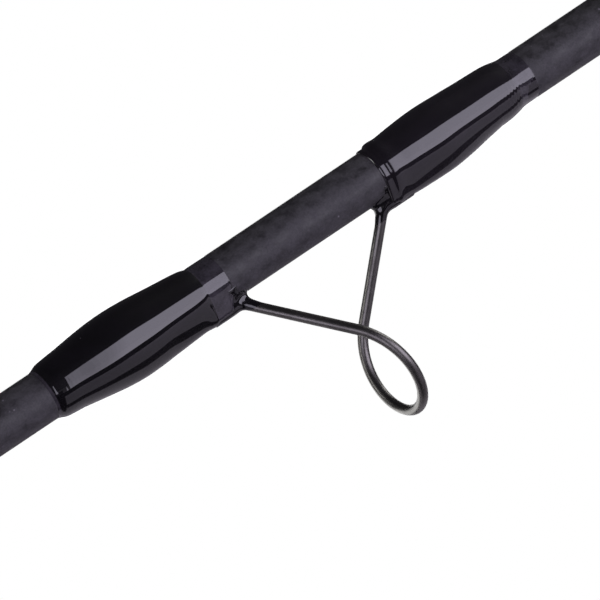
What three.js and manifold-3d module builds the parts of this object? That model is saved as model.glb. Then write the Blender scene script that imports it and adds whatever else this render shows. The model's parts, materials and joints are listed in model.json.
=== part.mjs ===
// A two-piece fly rod with its fly reel, in millimetres, +Z up.
//
// The origin is the centre of the butt cap's end face. +X runs along the rod to its tip, the
// guides and the reel hang on -Z, and the reel's handle is on -Y. Distances along the rod are
// measured from the butt, so a piece's x is its real place on the rod.

import * as THREE from 'three';
import { mergeVertices } from 'three/addons/utils/BufferGeometryUtils.js';
import Module from 'manifold-3d';

const wasm = await Module();
wasm.setup();

// ---------------------------------------------------------------- driving dimensions

const SIDES = 20;                 // sides of a round piece on the rod
const WRAP_SIDES = 12;            // and of a thread wrap, which is circumscribed round the blank
const GLUE = 0.06;                // glue line between a piece and the one it is bonded to
const RUN = 0.35;                 // air between pieces that move past each other

// The blank: two tapered tubes, the tip section sleeved over the end of the butt section.
const BUTT = { start: 6, end: 943, radiusAt290: 3.9, taper: 0.00225, wall: 0.8 };
const TIP = { start: 888, end: 1820, radius: 3.0, taper: 0.0022, wall: 0.38 };

// The reel seat, from the butt up.
const CAP = { length: 10, radius: 12.2, edge: 1.5 };
const BARREL = { start: 10.3, end: 52, radius: 9.2 };
const LOCK_RING = { start: 21.3, end: 29.3, radius: 12.4, edge: 0.8 };
const SLIDING_HOOD = { start: 30, end: 47, pocket: 9 };
const INSERT = { start: 52.3, end: 112, radius: 9.0 };
const FIXED_HOOD = { start: 97, end: 112, pocket: 9 };
const HOOD = {
  radius: 12.2, drop: 1.6,        // a hood is an off-centre round shell
  pocketRadius: 9.4,              // the round room in it for one end of the reel's foot
  pocketDrop: 3,
};

// The grip and what follows it.
const GRIP = { start: 112.3, end: 280 };
const CHECK = { start: 280.3, end: 285, startRadius: 7.5, endRadius: 5 };

// The hook keeper: a bent strap under two thread wraps, with a free ring through its arch.
const KEEPER = {
  x: 306, wire: 0.4, arch: 1.15, bend: 0.7, foot: 9,
  ring: 4.5, ringWire: 0.45,
  hang: 2.25,                     // the ring's pivot below the blank's surface
  covered: 10.5,                  // how far out the wraps leave room for the foot
};

// The snake guides, each a single wire: foot, leg, ring, leg, foot. These are the sizes of the
// largest; the others are the same shape, smaller towards the tip.
const SNAKE = {
  wire: 0.575,                    // wire radius
  ring: 6.7,                      // radius of the ring's centre line
  drop: 13.08,                    // ring's centre below the blank's surface
  span: 9.45,                     // half the distance between the roots of the two legs
  shift: 2.64,                    // along the rod, from the ring's middle to where a leg leaves it
  lean: -0.4,                     // along the rod per radian round the ring, at its bottom
  bend: 1.5,                      // radius of the bend from foot to leg
  ground: 0.72,                   // share of the wire ground off at the end of a foot
  footTip: 28, footButt: 25.5,    // ends of the feet from the guide's middle
  wrapTip: [10.9, 32.5], wrapButt: [10.4, 30],
};
const SNAKE_PLACES = [800, 985, 1165, 1330, 1477, 1607, 1722];
const SNAKE_SCALES = [1, 0.9, 0.8, 0.72, 0.64, 0.57, 0.52];

// The stripping guide: a ceramic ring in a hoop on four legs.
const STRIPPER = {
  x: 610, hoop: 7.8, band: 0.85, width: 2.6, wire: 0.7,
  drop: 15.5,                     // ring's centre below the blank's surface
  grip: 0.95,                     // angle from the ring's top to where a leg joins it
  span: 13, toe: 24,              // where the legs meet the foot, and the foot's end
  legSpread: 0.7,                 // along the rod, from the ring's middle to a leg's end
  bend: 3,                        // radius of the bend from foot to leg
};

const TIP_TOP = {
  start: 1806, end: 1822, radius: 1.55, wire: 0.5,
  loop: 3.7, lean: 9,             // the loop's radius, and how far it leans out past the tube
};

// The reel. Its axis is parallel to Y; sizes along the axis are y, handle side negative.
const REEL = {
  x: 72, z: -58.5,                // axis
  cage: 36.5, cageWall: 2.2,      // cage's outer radius and the thickness of its shell
  front: -12, back: 14, plate: 2.5,
  flange: 33.6, drum: 16, drumWall: 2, hub: 7.2, hubBore: 5.1,
  frontFlange: [-12.3, -10.5], rearFlange: [5.6, 7.2],
  spindle: 3,
  padLength: 26, padWidth: 12,    // the frame's pad under the foot
  frameHoles: { count: 8, circle: 24, radius: 4.2 },
  spoolHoles: { count: 9, circle: 24.5, radius: 4 },
  drag: { inner: 5.8, outer: 12.6, disc: [9.7, 11.2], plate: [7.6, 9.3] },
  spring: { radius: 6.6, wire: 0.55, start: 15.1, length: 4.3, coils: 3 },
};
const FOOT = {
  start: 39.5, end: 105.5, width: 13, tip: 1.4, thick: 3,
  slope: 14,                      // length of the wedge at each end
  round: 9.05, roundDrop: 3,      // the round that its sides are trimmed to
  pedestal: 4.4,                  // half the pedestal's width
  base: 38.5,                     // top of the frame's pad, above the reel's axis
  screws: [-6, 6],
};
const SCREW = { hole: 1.6, headHole: 2.7, shank: 1.2, head: 2.3 };
const HANDLE = { radius: 25.5, turn: 3.67, post: 1.6, start: -15.2, end: -34 };

// ---------------------------------------------------------------- geometry helpers

const TURN = Math.PI * 2;

const buttRadius = (x) => BUTT.radiusAt290 - BUTT.taper * (x - 290);
const tipRadius = (x) => TIP.radius - TIP.taper * (x - TIP.start);
const rodRadius = (x) => (x < TIP.start ? buttRadius(x) : tipRadius(x));

// A solid with shared corners and its faces out.
function tidy(geometry) {
  const bare = geometry.index ? geometry.clone() : geometry;
  for (const name of Object.keys(bare.attributes)) {
    if (name !== 'position') bare.deleteAttribute(name);
  }
  const merged = mergeVertices(bare, 1e-4);
  const p = merged.attributes.position;
  const corner = (i) => new THREE.Vector3().fromBufferAttribute(p, i);
  const faces = [];
  let volume = 0;
  for (let i = 0; i < merged.index.count; i += 3) {
    const [a, b, c] = [0, 1, 2].map((k) => merged.index.getX(i + k));
    if (a === b || b === c || c === a) continue;
    faces.push(a, b, c);
    volume += corner(a).dot(corner(b).cross(corner(c)));
  }
  if (volume < 0) faces.reverse();
  merged.setIndex(faces);
  return merged;
}

function toSolid(geometry) {
  const g = tidy(geometry);
  return new wasm.Manifold(new wasm.Mesh({
    numProp: 3,
    vertProperties: new Float32Array(g.attributes.position.array),
    triVerts: new Uint32Array(g.index.array),
  }));
}

function toGeometry(solid) {
  const mesh = solid.getMesh();
  const g = new THREE.BufferGeometry();
  g.setAttribute('position', new THREE.BufferAttribute(mesh.vertProperties, 3));
  g.setIndex(new THREE.BufferAttribute(mesh.triVerts, 1));
  return g;
}

const join = (...parts) => parts.reduce((sum, part) => sum.add(part));
const cut = (body, ...tools) => tools.reduce((rest, tool) => rest.subtract(tool), body);

// Turned pieces. A profile is a list of [distance along the axis, radius].
function lathe(profile, sides, closed) {
  const points = profile.map(([along, r]) => new THREE.Vector2(r, along));
  if (closed) points.push(points[0].clone());
  return new THREE.LatheGeometry(points, sides);
}
const turnedX = (profile, sides = SIDES) => lathe(profile, sides, false).rotateZ(-Math.PI / 2);
const turnedY = (profile, sides = SIDES) => lathe(profile, sides, false);
const ringX = (profile, sides = SIDES) => lathe(profile, sides, true).rotateZ(-Math.PI / 2);
const ringY = (profile, sides = SIDES) => lathe(profile, sides, true);

const rodX = (a, b, r, sides = SIDES) => turnedX([[a, 0], [a, r], [b, r], [b, 0]], sides);
const turnedZ = (profile, sides = SIDES) => lathe(profile, sides, false).rotateX(Math.PI / 2);
const rodZ = (a, b, r, sides = SIDES) => turnedZ([[a, 0], [a, r], [b, r], [b, 0]], sides);
const rodY = (a, b, r, sides = SIDES) => turnedY([[a, 0], [a, r], [b, r], [b, 0]], sides);
const tubeX = (a, b, inner, outer, sides = SIDES) =>
  ringX([[a, inner], [a, outer], [b, outer], [b, inner]], sides);
const tubeY = (a, b, inner, outer, sides = SIDES) =>
  ringY([[a, inner], [a, outer], [b, outer], [b, inner]], sides);

function block(x0, x1, y0, y1, z0, z1) {
  const g = new THREE.BoxGeometry(x1 - x0, y1 - y0, z1 - z0);
  return g.translate((x0 + x1) / 2, (y0 + y1) / 2, (z0 + z1) / 2);
}

// A path that a section follows exactly, point by point.
class PointPath extends THREE.Curve {
  constructor(points) {
    super();
    this.points = points;
  }
  getPoint(u, target = new THREE.Vector3()) {
    const place = u * (this.points.length - 1);
    const i = Math.min(Math.floor(place), this.points.length - 2);
    return target.lerpVectors(this.points[i], this.points[i + 1], place - i);
  }
  getPointAt(u, target) {
    return this.getPoint(u, target);
  }
  getTangentAt(u, target = new THREE.Vector3()) {
    const last = this.points.length - 1;
    const i = Math.round(u * last);
    const before = this.points[Math.max(i - 1, 0)];
    const after = this.points[Math.min(i + 1, last)];
    return target.subVectors(after, before).normalize();
  }
}

function wire(points, radius, sides = 8) {
  const section = new THREE.Shape();
  for (let i = 0; i < sides; i++) {
    const a = ((i + 0.5) / sides) * TURN;
    section[i ? 'lineTo' : 'moveTo'](radius * Math.cos(a), radius * Math.sin(a));
  }
  return new THREE.ExtrudeGeometry(section, {
    steps: points.length - 1,
    extrudePath: new PointPath(points),
    bevelEnabled: false,
  });
}

const point = (x, y, z) => new THREE.Vector3(x, y, z);

// The points of a round bend of the given radius at corner, on the way from before to after.
function bend(before, corner, after, radius, steps) {
  const back = before.clone().sub(corner).normalize();
  const on = after.clone().sub(corner).normalize();
  const half = back.angleTo(on) / 2;
  const reach = radius / Math.tan(half);
  const inward = back.clone().add(on).normalize();
  const centre = corner.clone().addScaledVector(inward, radius / Math.sin(half));
  const from = corner.clone().addScaledVector(back, reach).sub(centre);
  const to = corner.clone().addScaledVector(on, reach).sub(centre);
  const sweep = Math.PI - 2 * half;
  return Array.from({ length: steps + 1 }, (_, i) => {
    const a = (i / steps) * sweep;
    return centre.clone()
      .addScaledVector(from, Math.sin(sweep - a) / Math.sin(sweep))
      .addScaledVector(to, Math.sin(a) / Math.sin(sweep));
  });
}

// ---------------------------------------------------------------- the scene

const rodAndReel = new THREE.Group();
const reel = new THREE.Group();
reel.position.set(REEL.x, 0, REEL.z);
rodAndReel.add(reel);

const finish = (color, roughness, metalness) =>
  new THREE.MeshStandardMaterial({ color, roughness, metalness });
const MATERIAL = {
  blank: finish(0x2b282f, 0.6, 0),
  wrap: finish(0x0e0d10, 0.08, 0),
  wire: finish(0x55525a, 0.3, 1),
  ceramic: finish(0x1c1c20, 0.15, 0),
  cork: finish(0xc79a6a, 0.8, 0),
  wood: finish(0x5e3a22, 0.35, 0),
  black: finish(0x1d1c20, 0.35, 1),
  steel: finish(0xa7a8ab, 0.3, 1),
  brass: finish(0xb08d4a, 0.35, 1),
  felt: finish(0x2e2b28, 0.9, 0),
};

function add(parent, name, geometry, material) {
  const mesh = new THREE.Mesh(tidy(geometry), material);
  mesh.name = name;
  parent.add(mesh);
  return mesh;
}

// ---------------------------------------------------------------- blank

// The butt section is open at both ends; its butt end stands in the cap.
add(rodAndReel, 'butt_blank', ringX([
  [BUTT.start, buttRadius(BUTT.start)], [BUTT.end, buttRadius(BUTT.end)],
  [BUTT.end, buttRadius(BUTT.end) - BUTT.wall], [BUTT.start, buttRadius(BUTT.start) - BUTT.wall],
]), MATERIAL.blank);

// The tip section: a sleeve over the butt section's end, then a hollow taper.
add(rodAndReel, 'tip_blank', ringX([
  [TIP.start, tipRadius(TIP.start)], [TIP.end, tipRadius(TIP.end)],
  [TIP.end, tipRadius(TIP.end) - TIP.wall],
  [BUTT.end + 4, tipRadius(BUTT.end + 4) - 0.7], [BUTT.end + 0.3, buttRadius(BUTT.end) + GLUE],
  [TIP.start, buttRadius(TIP.start) + GLUE],
]), MATERIAL.blank);

// ---------------------------------------------------------------- reel seat

add(rodAndReel, 'butt_cap', turnedX([
  [0, 0], [0, CAP.radius - CAP.edge], [CAP.edge / 3, CAP.radius - CAP.edge / 3],
  [CAP.edge, CAP.radius], [CAP.length - 1, CAP.radius],
  [CAP.length, CAP.radius - 1], [CAP.length, buttRadius(CAP.length) + GLUE],
  [BUTT.start - 0.3, buttRadius(BUTT.start) + GLUE], [BUTT.start - 0.3, 0],
]), MATERIAL.black);

const sleeve = (a, b, radius) => ringX([
  [a, radius], [b, radius], [b, buttRadius(b) + GLUE], [a, buttRadius(a) + GLUE],
]);
add(rodAndReel, 'seat_barrel', sleeve(BARREL.start, BARREL.end, BARREL.radius), MATERIAL.black);
add(rodAndReel, 'seat_insert', sleeve(INSERT.start, INSERT.end, INSERT.radius), MATERIAL.wood);

// A hood: an off-centre shell on the seat, with a pocket that holds one end of the reel's foot.
function hood(start, end, pocketStart, pocketEnd, seatRadius) {
  const shell = rodX(start, end, HOOD.radius).translate(0, 0, -HOOD.drop);
  const pocket = rodX(pocketStart, pocketEnd, HOOD.pocketRadius).translate(0, 0, -HOOD.pocketDrop);
  const seat = rodX(start - 1, end + 1, seatRadius + RUN / 3);
  return cut(toSolid(shell), toSolid(seat), toSolid(pocket));
}
add(rodAndReel, 'sliding_hood', toGeometry(hood(
  SLIDING_HOOD.start, SLIDING_HOOD.end,
  SLIDING_HOOD.end - SLIDING_HOOD.pocket, SLIDING_HOOD.end + 1, BARREL.radius,
)), MATERIAL.black);
add(rodAndReel, 'fixed_hood', toGeometry(hood(
  FIXED_HOOD.start, FIXED_HOOD.end,
  FIXED_HOOD.start - 1, FIXED_HOOD.start + FIXED_HOOD.pocket, INSERT.radius,
)), MATERIAL.black);

// The lock ring turns on the barrel's thread and pushes the sliding hood onto the reel's foot.
add(rodAndReel, 'lock_ring', ringX([
  [LOCK_RING.start, BARREL.radius + RUN],
  [LOCK_RING.start, LOCK_RING.radius - LOCK_RING.edge],
  [LOCK_RING.start + LOCK_RING.edge, LOCK_RING.radius],
  [LOCK_RING.end - LOCK_RING.edge, LOCK_RING.radius],
  [LOCK_RING.end, LOCK_RING.radius - LOCK_RING.edge],
  [LOCK_RING.end, BARREL.radius + RUN],
]), MATERIAL.black);

// ---------------------------------------------------------------- grip

// Share of the grip's length from its butt end, and the radius there.
const GRIP_PROFILE = [
  [0, 11.6], [0.01, 12], [0.12, 12.9], [0.28, 13.4], [0.45, 13.3], [0.62, 12.5],
  [0.77, 11.1], [0.88, 9.6], [0.96, 8.2], [1, 7.6],
];
const gripX = (share) => GRIP.start + share * (GRIP.end - GRIP.start);
add(rodAndReel, 'cork_grip', ringX([
  ...GRIP_PROFILE.map(([share, r]) => [gripX(share), r]),
  [GRIP.end, buttRadius(GRIP.end) + GLUE], [GRIP.start, buttRadius(GRIP.start) + GLUE],
]), MATERIAL.cork);

add(rodAndReel, 'winding_check', ringX([
  [CHECK.start, CHECK.startRadius], [CHECK.start + 1.5, 7.2], [CHECK.start + 3.4, 5.9],
  [CHECK.end, CHECK.endRadius],
  [CHECK.end, buttRadius(CHECK.end) + GLUE], [CHECK.start, buttRadius(CHECK.start) + GLUE],
]), MATERIAL.black);

// ---------------------------------------------------------------- thread wraps

const LEAST_WRAP = 0.12;          // least thickness of a wrap, and its air round a foot

// A wrap: varnished thread round the blank and over a guide's foot. stations is a list of
// [x, upper radius, lower radius] along the rod, and foot gives the depth below the blank's
// surface that the wrap leaves free for a foot at x. Its outside is a pile of off-centre
// circles; its inside is the blank's cone with a groove for the foot.
function wrap(stations, foot, sides = WRAP_SIDES) {
  const skin = stations.map(([x, up, low]) => [x, (up + low) / 2]);
  const around = (r) => r / Math.cos(Math.PI / sides);
  const lining = [...stations].reverse().map(([x]) => [x, around(rodRadius(x) + GLUE)]);
  const g = ringX([...skin, ...lining], sides);
  const p = g.attributes.position;
  const rows = 2 * stations.length + 1;
  for (let i = 0; i < p.count; i++) {
    const row = i % rows % (rows - 1);
    const [x, y, z] = [p.getX(i), p.getY(i), p.getZ(i)];
    const isSkin = row < stations.length;
    const station = isSkin ? stations[row] : stations[2 * stations.length - 1 - row];
    const depth = foot(x);
    const low = Math.abs(y) < Math.abs(z) * 0.6 && z < 0 && depth > 0;
    const groove = around(rodRadius(x) + depth + LEAST_WRAP);
    if (isSkin) {
      const r = Math.hypot(y, z);
      p.setZ(i, z - (station[2] - station[1]) / 2);
      const reach = Math.hypot(y, p.getZ(i));
      const least = (low ? groove : around(rodRadius(x) + GLUE)) + LEAST_WRAP;
      if (reach < least && r > 0) {
        p.setY(i, (y / r) * least);
        p.setZ(i, (z / r) * least);
      }
    } else if (low) {
      const r = Math.hypot(y, z);
      p.setY(i, (y / r) * groove);
      p.setZ(i, (z / r) * groove);
    }
  }
  return g;
}

// The outline of a wrap from its inner end, next to the guide's leg, to its outer end. Each
// row is [share of the length, thickness above the blank, thickness over the foot].
const WRAP_OUTLINE = [
  [0, 0.14, 1.25], [0.07, 0.25, 1.3], [0.1, 0.42, 1.28], [0.35, 0.78, 1.4],
  [0.55, 1.02, 1.5], [0.72, 0.88, 1.12], [0.87, 0.52, 0.55], [0.97, 0.32, 0.32], [1, 0.12, 0.12],
];
const COARSE_ROWS = [0, 4, 6, 8];

// A piece on a smaller guide is thinner than the largest guide's, but less so than it is shorter.
const wrapShrink = (scale) => 0.35 + 0.65 * scale;
const wireShrink = (scale) => 0.4 + 0.6 * scale;

// side is +1 for the tip side of the guide at centre, -1 for the butt side.
function guideWrap(centre, side, [inner, outer], scale, foot, fine) {
  const outline = fine ? WRAP_OUTLINE : COARSE_ROWS.map((row) => WRAP_OUTLINE[row]);
  const stations = outline.map(([share, above, below]) => {
    const x = centre + side * (inner + share * (outer - inner)) * scale;
    const thin = wrapShrink(scale);
    return [x, rodRadius(x) + above * thin, rodRadius(x) + below * thin];
  });
  if (side < 0) stations.reverse();
  return wrap(stations, foot, fine ? 16 : WRAP_SIDES);
}

// ---------------------------------------------------------------- snake guides

// How deep a guide's foot is below the blank at the distance out from the guide's middle:
// the whole wire at the root, ground to a thin wedge at its end.
const footDepth = (out, root, end, wireRadius) =>
  2 * wireRadius * (1 - SNAKE.ground * THREE.MathUtils.clamp((out - root) / (end - root), 0, 1));

function snakeWire(centre, scale, rows, sides) {
  const s = SNAKE;
  const w = s.wire * wireShrink(scale);
  const ring = s.ring * scale;
  const middle = -(rodRadius(centre) + s.drop * scale);
  const footZ = (x) => -(rodRadius(x) + GLUE + w);
  const rootOut = s.span * scale;
  const rootZ = footZ(centre);

  // A leg is tangent to the ring seen along the rod, so its angle round the ring follows.
  const tangent = Math.PI / 2 + Math.asin(ring / (rootZ - middle));
  const legY = ring * Math.sin(tangent);
  const legZ = middle - ring * Math.cos(tangent);
  const legX = s.shift * scale;

  // Along the rod the ring is x = a t + b t^3 + c t^5, which meets the leg's own slope.
  const a = s.lean * scale;
  const slope = ((rootOut - legX) / (rootZ - legZ)) * (ring * Math.sin(tangent));
  const [x1, s1] = [legX - a * tangent, slope - a];
  const b = (5 * x1 - tangent * s1) / (2 * tangent ** 3);
  const c = (tangent * s1 - 3 * x1) / (2 * tangent ** 5);

  const points = [];
  for (let i = 0; i <= rows; i++) {
    const t = tangent * (1 - (2 * i) / rows);
    const x = centre + a * t + b * t ** 3 + c * t ** 5;
    points.push(point(x, ring * Math.sin(t), middle - ring * Math.cos(t)));
  }
  const end = (side, length) => {
    const rootPoint = point(centre + side * rootOut, 0, footZ(centre + side * rootOut));
    const toe = point(centre + side * length, 0, footZ(centre + side * length));
    const knee = point(centre + side * legX, side * legY, legZ);
    return [toe, ...bend(toe, rootPoint, knee, s.bend * scale, 4)];
  };
  const path = [...end(1, s.footTip * scale), ...points, ...end(-1, s.footButt * scale).reverse()];
  const g = wire(path, w, sides);

  // The feet are ground to wedges on their lower side.
  const p = g.attributes.position;
  for (let i = 0; i < p.count; i++) {
    const x = p.getX(i);
    const out = Math.abs(x - centre);
    const length = (x > centre ? s.footTip : s.footButt) * scale;
    if (out > rootOut + s.bend * scale) {
      const top = -(rodRadius(x) + GLUE);
      p.setZ(i, top + ((p.getZ(i) - top) * footDepth(out, rootOut, length, w)) / (2 * w));
    }
  }
  return g;
}

// The two ends of a guide, and which way each lies along the rod.
const ENDS = [['tip', 1], ['butt', -1]];

SNAKE_PLACES.forEach((centre, i) => {
  const scale = SNAKE_SCALES[i];
  const fine = i === 0;
  const w = SNAKE.wire * wireShrink(scale);
  const name = `snake_guide_${i + 1}`;
  add(rodAndReel, name, snakeWire(centre, scale, fine ? 24 : 16, fine ? 8 : 6), MATERIAL.wire);
  for (const [end, side] of ENDS) {
    const reach = side > 0 ? SNAKE.wrapTip : SNAKE.wrapButt;
    const toe = side > 0 ? SNAKE.footTip : SNAKE.footButt;
    const covered = (reach[0] + 0.9 * (reach[1] - reach[0])) * scale;
    const foot = (x) => {
      const out = Math.abs(x - centre);
      return out < covered ? footDepth(out, SNAKE.span * scale, toe * scale, w) : 0;
    };
    const g = guideWrap(centre, side, reach, scale, foot, fine);
    add(rodAndReel, `${name}_${end}_wrap`, g, MATERIAL.wrap);
  }
});

// ---------------------------------------------------------------- hook keeper

function makeKeeper() {
  const k = KEEPER;
  const pivot = -(buttRadius(k.x) + k.hang);
  const footZ = -(buttRadius(k.x - k.foot) + GLUE + k.wire);
  const half = (side) => {
    const corner = point(k.x + side * k.arch, 0, footZ);
    const toe = point(k.x + side * k.foot, 0, footZ);
    const down = point(k.x + side * k.arch, 0, pivot);
    return [toe, ...bend(toe, corner, down, k.bend, 2)];
  };
  const arch = Array.from({ length: 7 }, (_, i) => {
    const a = (i / 6) * Math.PI;
    return point(k.x + k.arch * Math.cos(a), 0, pivot - k.arch * Math.sin(a));
  });
  const strap = [...half(1), ...arch, ...half(-1).reverse()];
  add(rodAndReel, 'hook_keeper_strap', wire(strap, k.wire), MATERIAL.steel);

  const eye = new THREE.TorusGeometry(k.ring, k.ringWire, 6, 20).rotateY(Math.PI / 2);
  const ring = add(rodAndReel, 'hook_keeper_ring', eye, MATERIAL.steel);
  ring.position.set(k.x, 0, pivot - k.ring);

  // Each row is [distance out, thickness above the blank, thickness over the foot].
  const outline = [[2.8, 0.3, 1.05], [4, 0.5, 1.12], [9.6, 0.45, 1.05], [11, 0.15, 0.2]];
  for (const [end, side] of ENDS) {
    const stations = outline.map(([out, above, below]) => {
      const x = k.x + side * out;
      return [x, rodRadius(x) + above, rodRadius(x) + below];
    });
    if (side < 0) stations.reverse();
    const foot = (x) => (Math.abs(x - k.x) < k.covered ? 2 * k.wire : 0);
    add(rodAndReel, `hook_keeper_${end}_wrap`, wrap(stations, foot), MATERIAL.wrap);
  }
}
makeKeeper();

// ---------------------------------------------------------------- stripping guide

function makeStripper() {
  const s = STRIPPER;
  const middle = -(rodRadius(s.x) + s.drop);
  const footZ = -(rodRadius(s.x - s.toe) + GLUE + s.wire);
  const band = tubeX(-s.width / 2, s.width / 2, s.hoop - s.band, s.hoop);
  const reachUp = s.hoop - 0.25;    // a leg ends inside the hoop's band
  let frame = toSolid(band.translate(s.x, 0, middle));
  for (const side of [1, -1]) {
    const corner = point(s.x + side * s.span, 0, footZ);
    const toe = point(s.x + side * s.toe, 0, footZ);
    for (const hand of [1, -1]) {
      const top = point(
        s.x + side * s.legSpread,
        hand * reachUp * Math.sin(s.grip),
        middle + reachUp * Math.cos(s.grip),
      );
      frame = frame.add(toSolid(wire([...bend(toe, corner, top, s.bend, 3), top], s.wire, 6)));
    }
    const footEnd = point(s.x + side * (s.span + 0.6), 0, footZ);
    frame = frame.add(toSolid(wire([toe, footEnd], s.wire, 6)));
  }
  add(rodAndReel, 'stripping_guide_frame', toGeometry(frame), MATERIAL.wire);

  const outside = s.hoop - s.band - 0.1;
  const bead = [
    [-1.6, 5.9], [-1, 5.2], [0, 4.95], [1, 5.2], [1.6, 5.9], [1, outside], [-1, outside],
  ];
  const ring = add(rodAndReel, 'stripping_guide_ring', ringX(bead), MATERIAL.ceramic);
  ring.position.set(s.x, 0, middle);

  const reach = [s.span + 1.5, s.toe + 3.5];
  const foot = (x) => (Math.abs(x - s.x) < s.toe + 2.6 ? 2 * s.wire : 0);
  for (const [end, side] of ENDS) {
    const g = guideWrap(s.x, side, reach, 1, foot, false);
    add(rodAndReel, `stripping_guide_${end}_wrap`, g, MATERIAL.wrap);
  }
}
makeStripper();

// ---------------------------------------------------------------- ferrule and tip top

function plainWrap(name, start, end, thickness) {
  const skin = (x, t) => [x, rodRadius(x) + t, rodRadius(x) + t];
  const lip = 0.2 * thickness + 0.2;
  const slope = 2;                // length of the taper at each end
  const stations = [
    skin(start, lip), skin(start + slope, thickness), skin(end - slope, thickness), skin(end, lip),
  ];
  add(rodAndReel, name, wrap(stations, () => 0), MATERIAL.wrap);
}
plainWrap('ferrule_mouth_wrap', TIP.start + 0.4, TIP.start + 17, 0.5);
plainWrap('ferrule_band_wrap', BUTT.end - 6, BUTT.end + 5, 0.4);
plainWrap('tip_top_wrap', TIP_TOP.start - 11, TIP_TOP.start - 0.3, 0.45);

function makeTipTop() {
  const t = TIP_TOP;
  const inner = tipRadius(t.start) + GLUE;
  add(rodAndReel, 'tip_top_tube', tubeX(t.start, t.end, inner, t.radius), MATERIAL.steel);

  // The loop's legs lie along both sides of the tube; its ring leans forward at the bottom.
  const legY = t.radius + GLUE + t.wire;
  const open = Math.asin((legY - 0.2) / t.loop);
  const middle = -t.loop * Math.cos(open) - 0.1;
  const ring = Array.from({ length: 19 }, (_, i) => {
    const a = (Math.PI - open) * (1 - i / 9);
    const x = t.end + t.lean * (0.62 + 0.38 * Math.cos(a));
    return point(x, t.loop * Math.sin(a), middle - t.loop * Math.cos(a));
  });
  const leg = (hand) => [
    point(t.start + 1.5, hand * legY, 0), point(t.end - 0.5, hand * legY, 0),
  ];
  const path = [...leg(1), ...ring, ...leg(-1).reverse()];
  add(rodAndReel, 'tip_top_loop', wire(path, t.wire), MATERIAL.steel);
}
makeTipTop();

// ---------------------------------------------------------------- reel

// A flat piece square to the reel's axis, from y0 to y1, with its outline in x and z.
function plateY(shape, y0, y1, curveSegments = 6) {
  const g = new THREE.ExtrudeGeometry(shape, { depth: y1 - y0, bevelEnabled: false, curveSegments });
  return g.rotateX(Math.PI / 2).translate(0, y1, 0);
}

// A slice of a ring between two radii and two angles.
function sector(inner, outer, from, to) {
  const shape = new THREE.Shape();
  shape.absarc(0, 0, outer, from, to, false);
  shape.absarc(0, 0, inner, to, from, true);
  return shape;
}

// A round of equal holes through y0 to y1.
function holes({ count, circle, radius }, y0, y1) {
  return Array.from({ length: count }, (_, i) => {
    const a = ((i + 0.5) / count) * TURN;
    const hole = rodY(y0, y1, radius, 8);
    return toSolid(hole.translate(circle * Math.cos(a), 0, circle * Math.sin(a)));
  });
}

const ROUND = 36;                 // sides of the reel's large round pieces
const seatZ = -REEL.z;            // the rod's axis, seen from the reel's

// The frame: a back plate and a shell, cut into a cage, with a pad for the foot.
function makeFrame() {
  const r = REEL;
  const cageInside = r.cage - r.cageWall;
  const barHalf = 0.13;           // half the angle that a bar of the cage takes
  const padHalf = 0.4;            // and the same for the wide bar under the foot
  const bars = [Math.PI / 2, 0.1, -0.95, -2.2, Math.PI - 0.1 - TURN, Math.PI / 2 - TURN];
  const windows = bars.slice(0, -1).map((bar, i) => {
    const next = bars[i + 1];
    const from = next + (i === bars.length - 2 ? padHalf : barHalf);
    const to = bar - (i === 0 ? padHalf : barHalf);
    return toSolid(plateY(sector(r.cage - 8, r.cage + 4, from, to), r.front + 2.8, r.back - 5.2));
  });
  const cage = toSolid(tubeY(r.front, r.back, cageInside, r.cage, ROUND));
  const plate = toSolid(rodY(r.back - r.plate, r.back, r.cage, ROUND));
  const [padX, padY] = [r.padLength / 2, r.padWidth / 2];
  const pad = toSolid(block(-padX, padX, -padY, padY, cageInside + 0.6, FOOT.base));
  const screwHoles = FOOT.screws.map((x) =>
    toSolid(rodZ(cageInside + 1.2, FOOT.base + 1, SCREW.hole, 12).translate(x, 0, 0)));
  const frame = cut(
    join(cage, plate, pad), ...windows, ...screwHoles,
    ...holes(r.frameHoles, r.back - r.plate - 1, r.back + 1),
    toSolid(rodY(r.back - r.plate - 1, r.back + 1, r.spindle + RUN / 3, 16)),
  );
  add(reel, 'reel_frame', toGeometry(frame), MATERIAL.black);
}
makeFrame();

// The spool: two flanges with holes, a drum and a hub, and the bush that it turns on.
function makeSpool() {
  const r = REEL;
  const [frontA, frontB] = r.frontFlange;
  const [rearA, rearB] = r.rearFlange;
  const spool = cut(
    join(
      toSolid(rodY(frontA, frontB, r.flange, ROUND)),
      toSolid(tubeY(rearA, rearB, r.drum - r.drumWall / 2, r.flange, ROUND)),
      toSolid(tubeY(frontB - 0.2, rearB, r.drum - r.drumWall, r.drum, ROUND)),
      toSolid(rodY(frontA, rearB, r.hub, 24)),
    ),
    toSolid(rodY(frontA - 1, rearB + 1, r.hubBore, 16)),
    ...holes(r.spoolHoles, frontA - 1, frontB + 1),
    ...holes(r.spoolHoles, rearA - 1, rearB + 1),
  );
  add(reel, 'spool', toGeometry(spool), MATERIAL.black);
  add(reel, 'spool_bush', tubeY(frontA, rearB, r.spindle + 0.14, r.hubBore - 0.1, 16), MATERIAL.brass);
  add(reel, 'spool_cap', turnedY([
    [frontA - 0.3, 0], [frontA - 0.3, 8.6], [frontA - 2.2, 8.6], [frontA - 3.6, 7],
    [frontA - 4.2, 3], [frontA - 4.2, 0],
  ]), MATERIAL.steel);
}
makeSpool();

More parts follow.
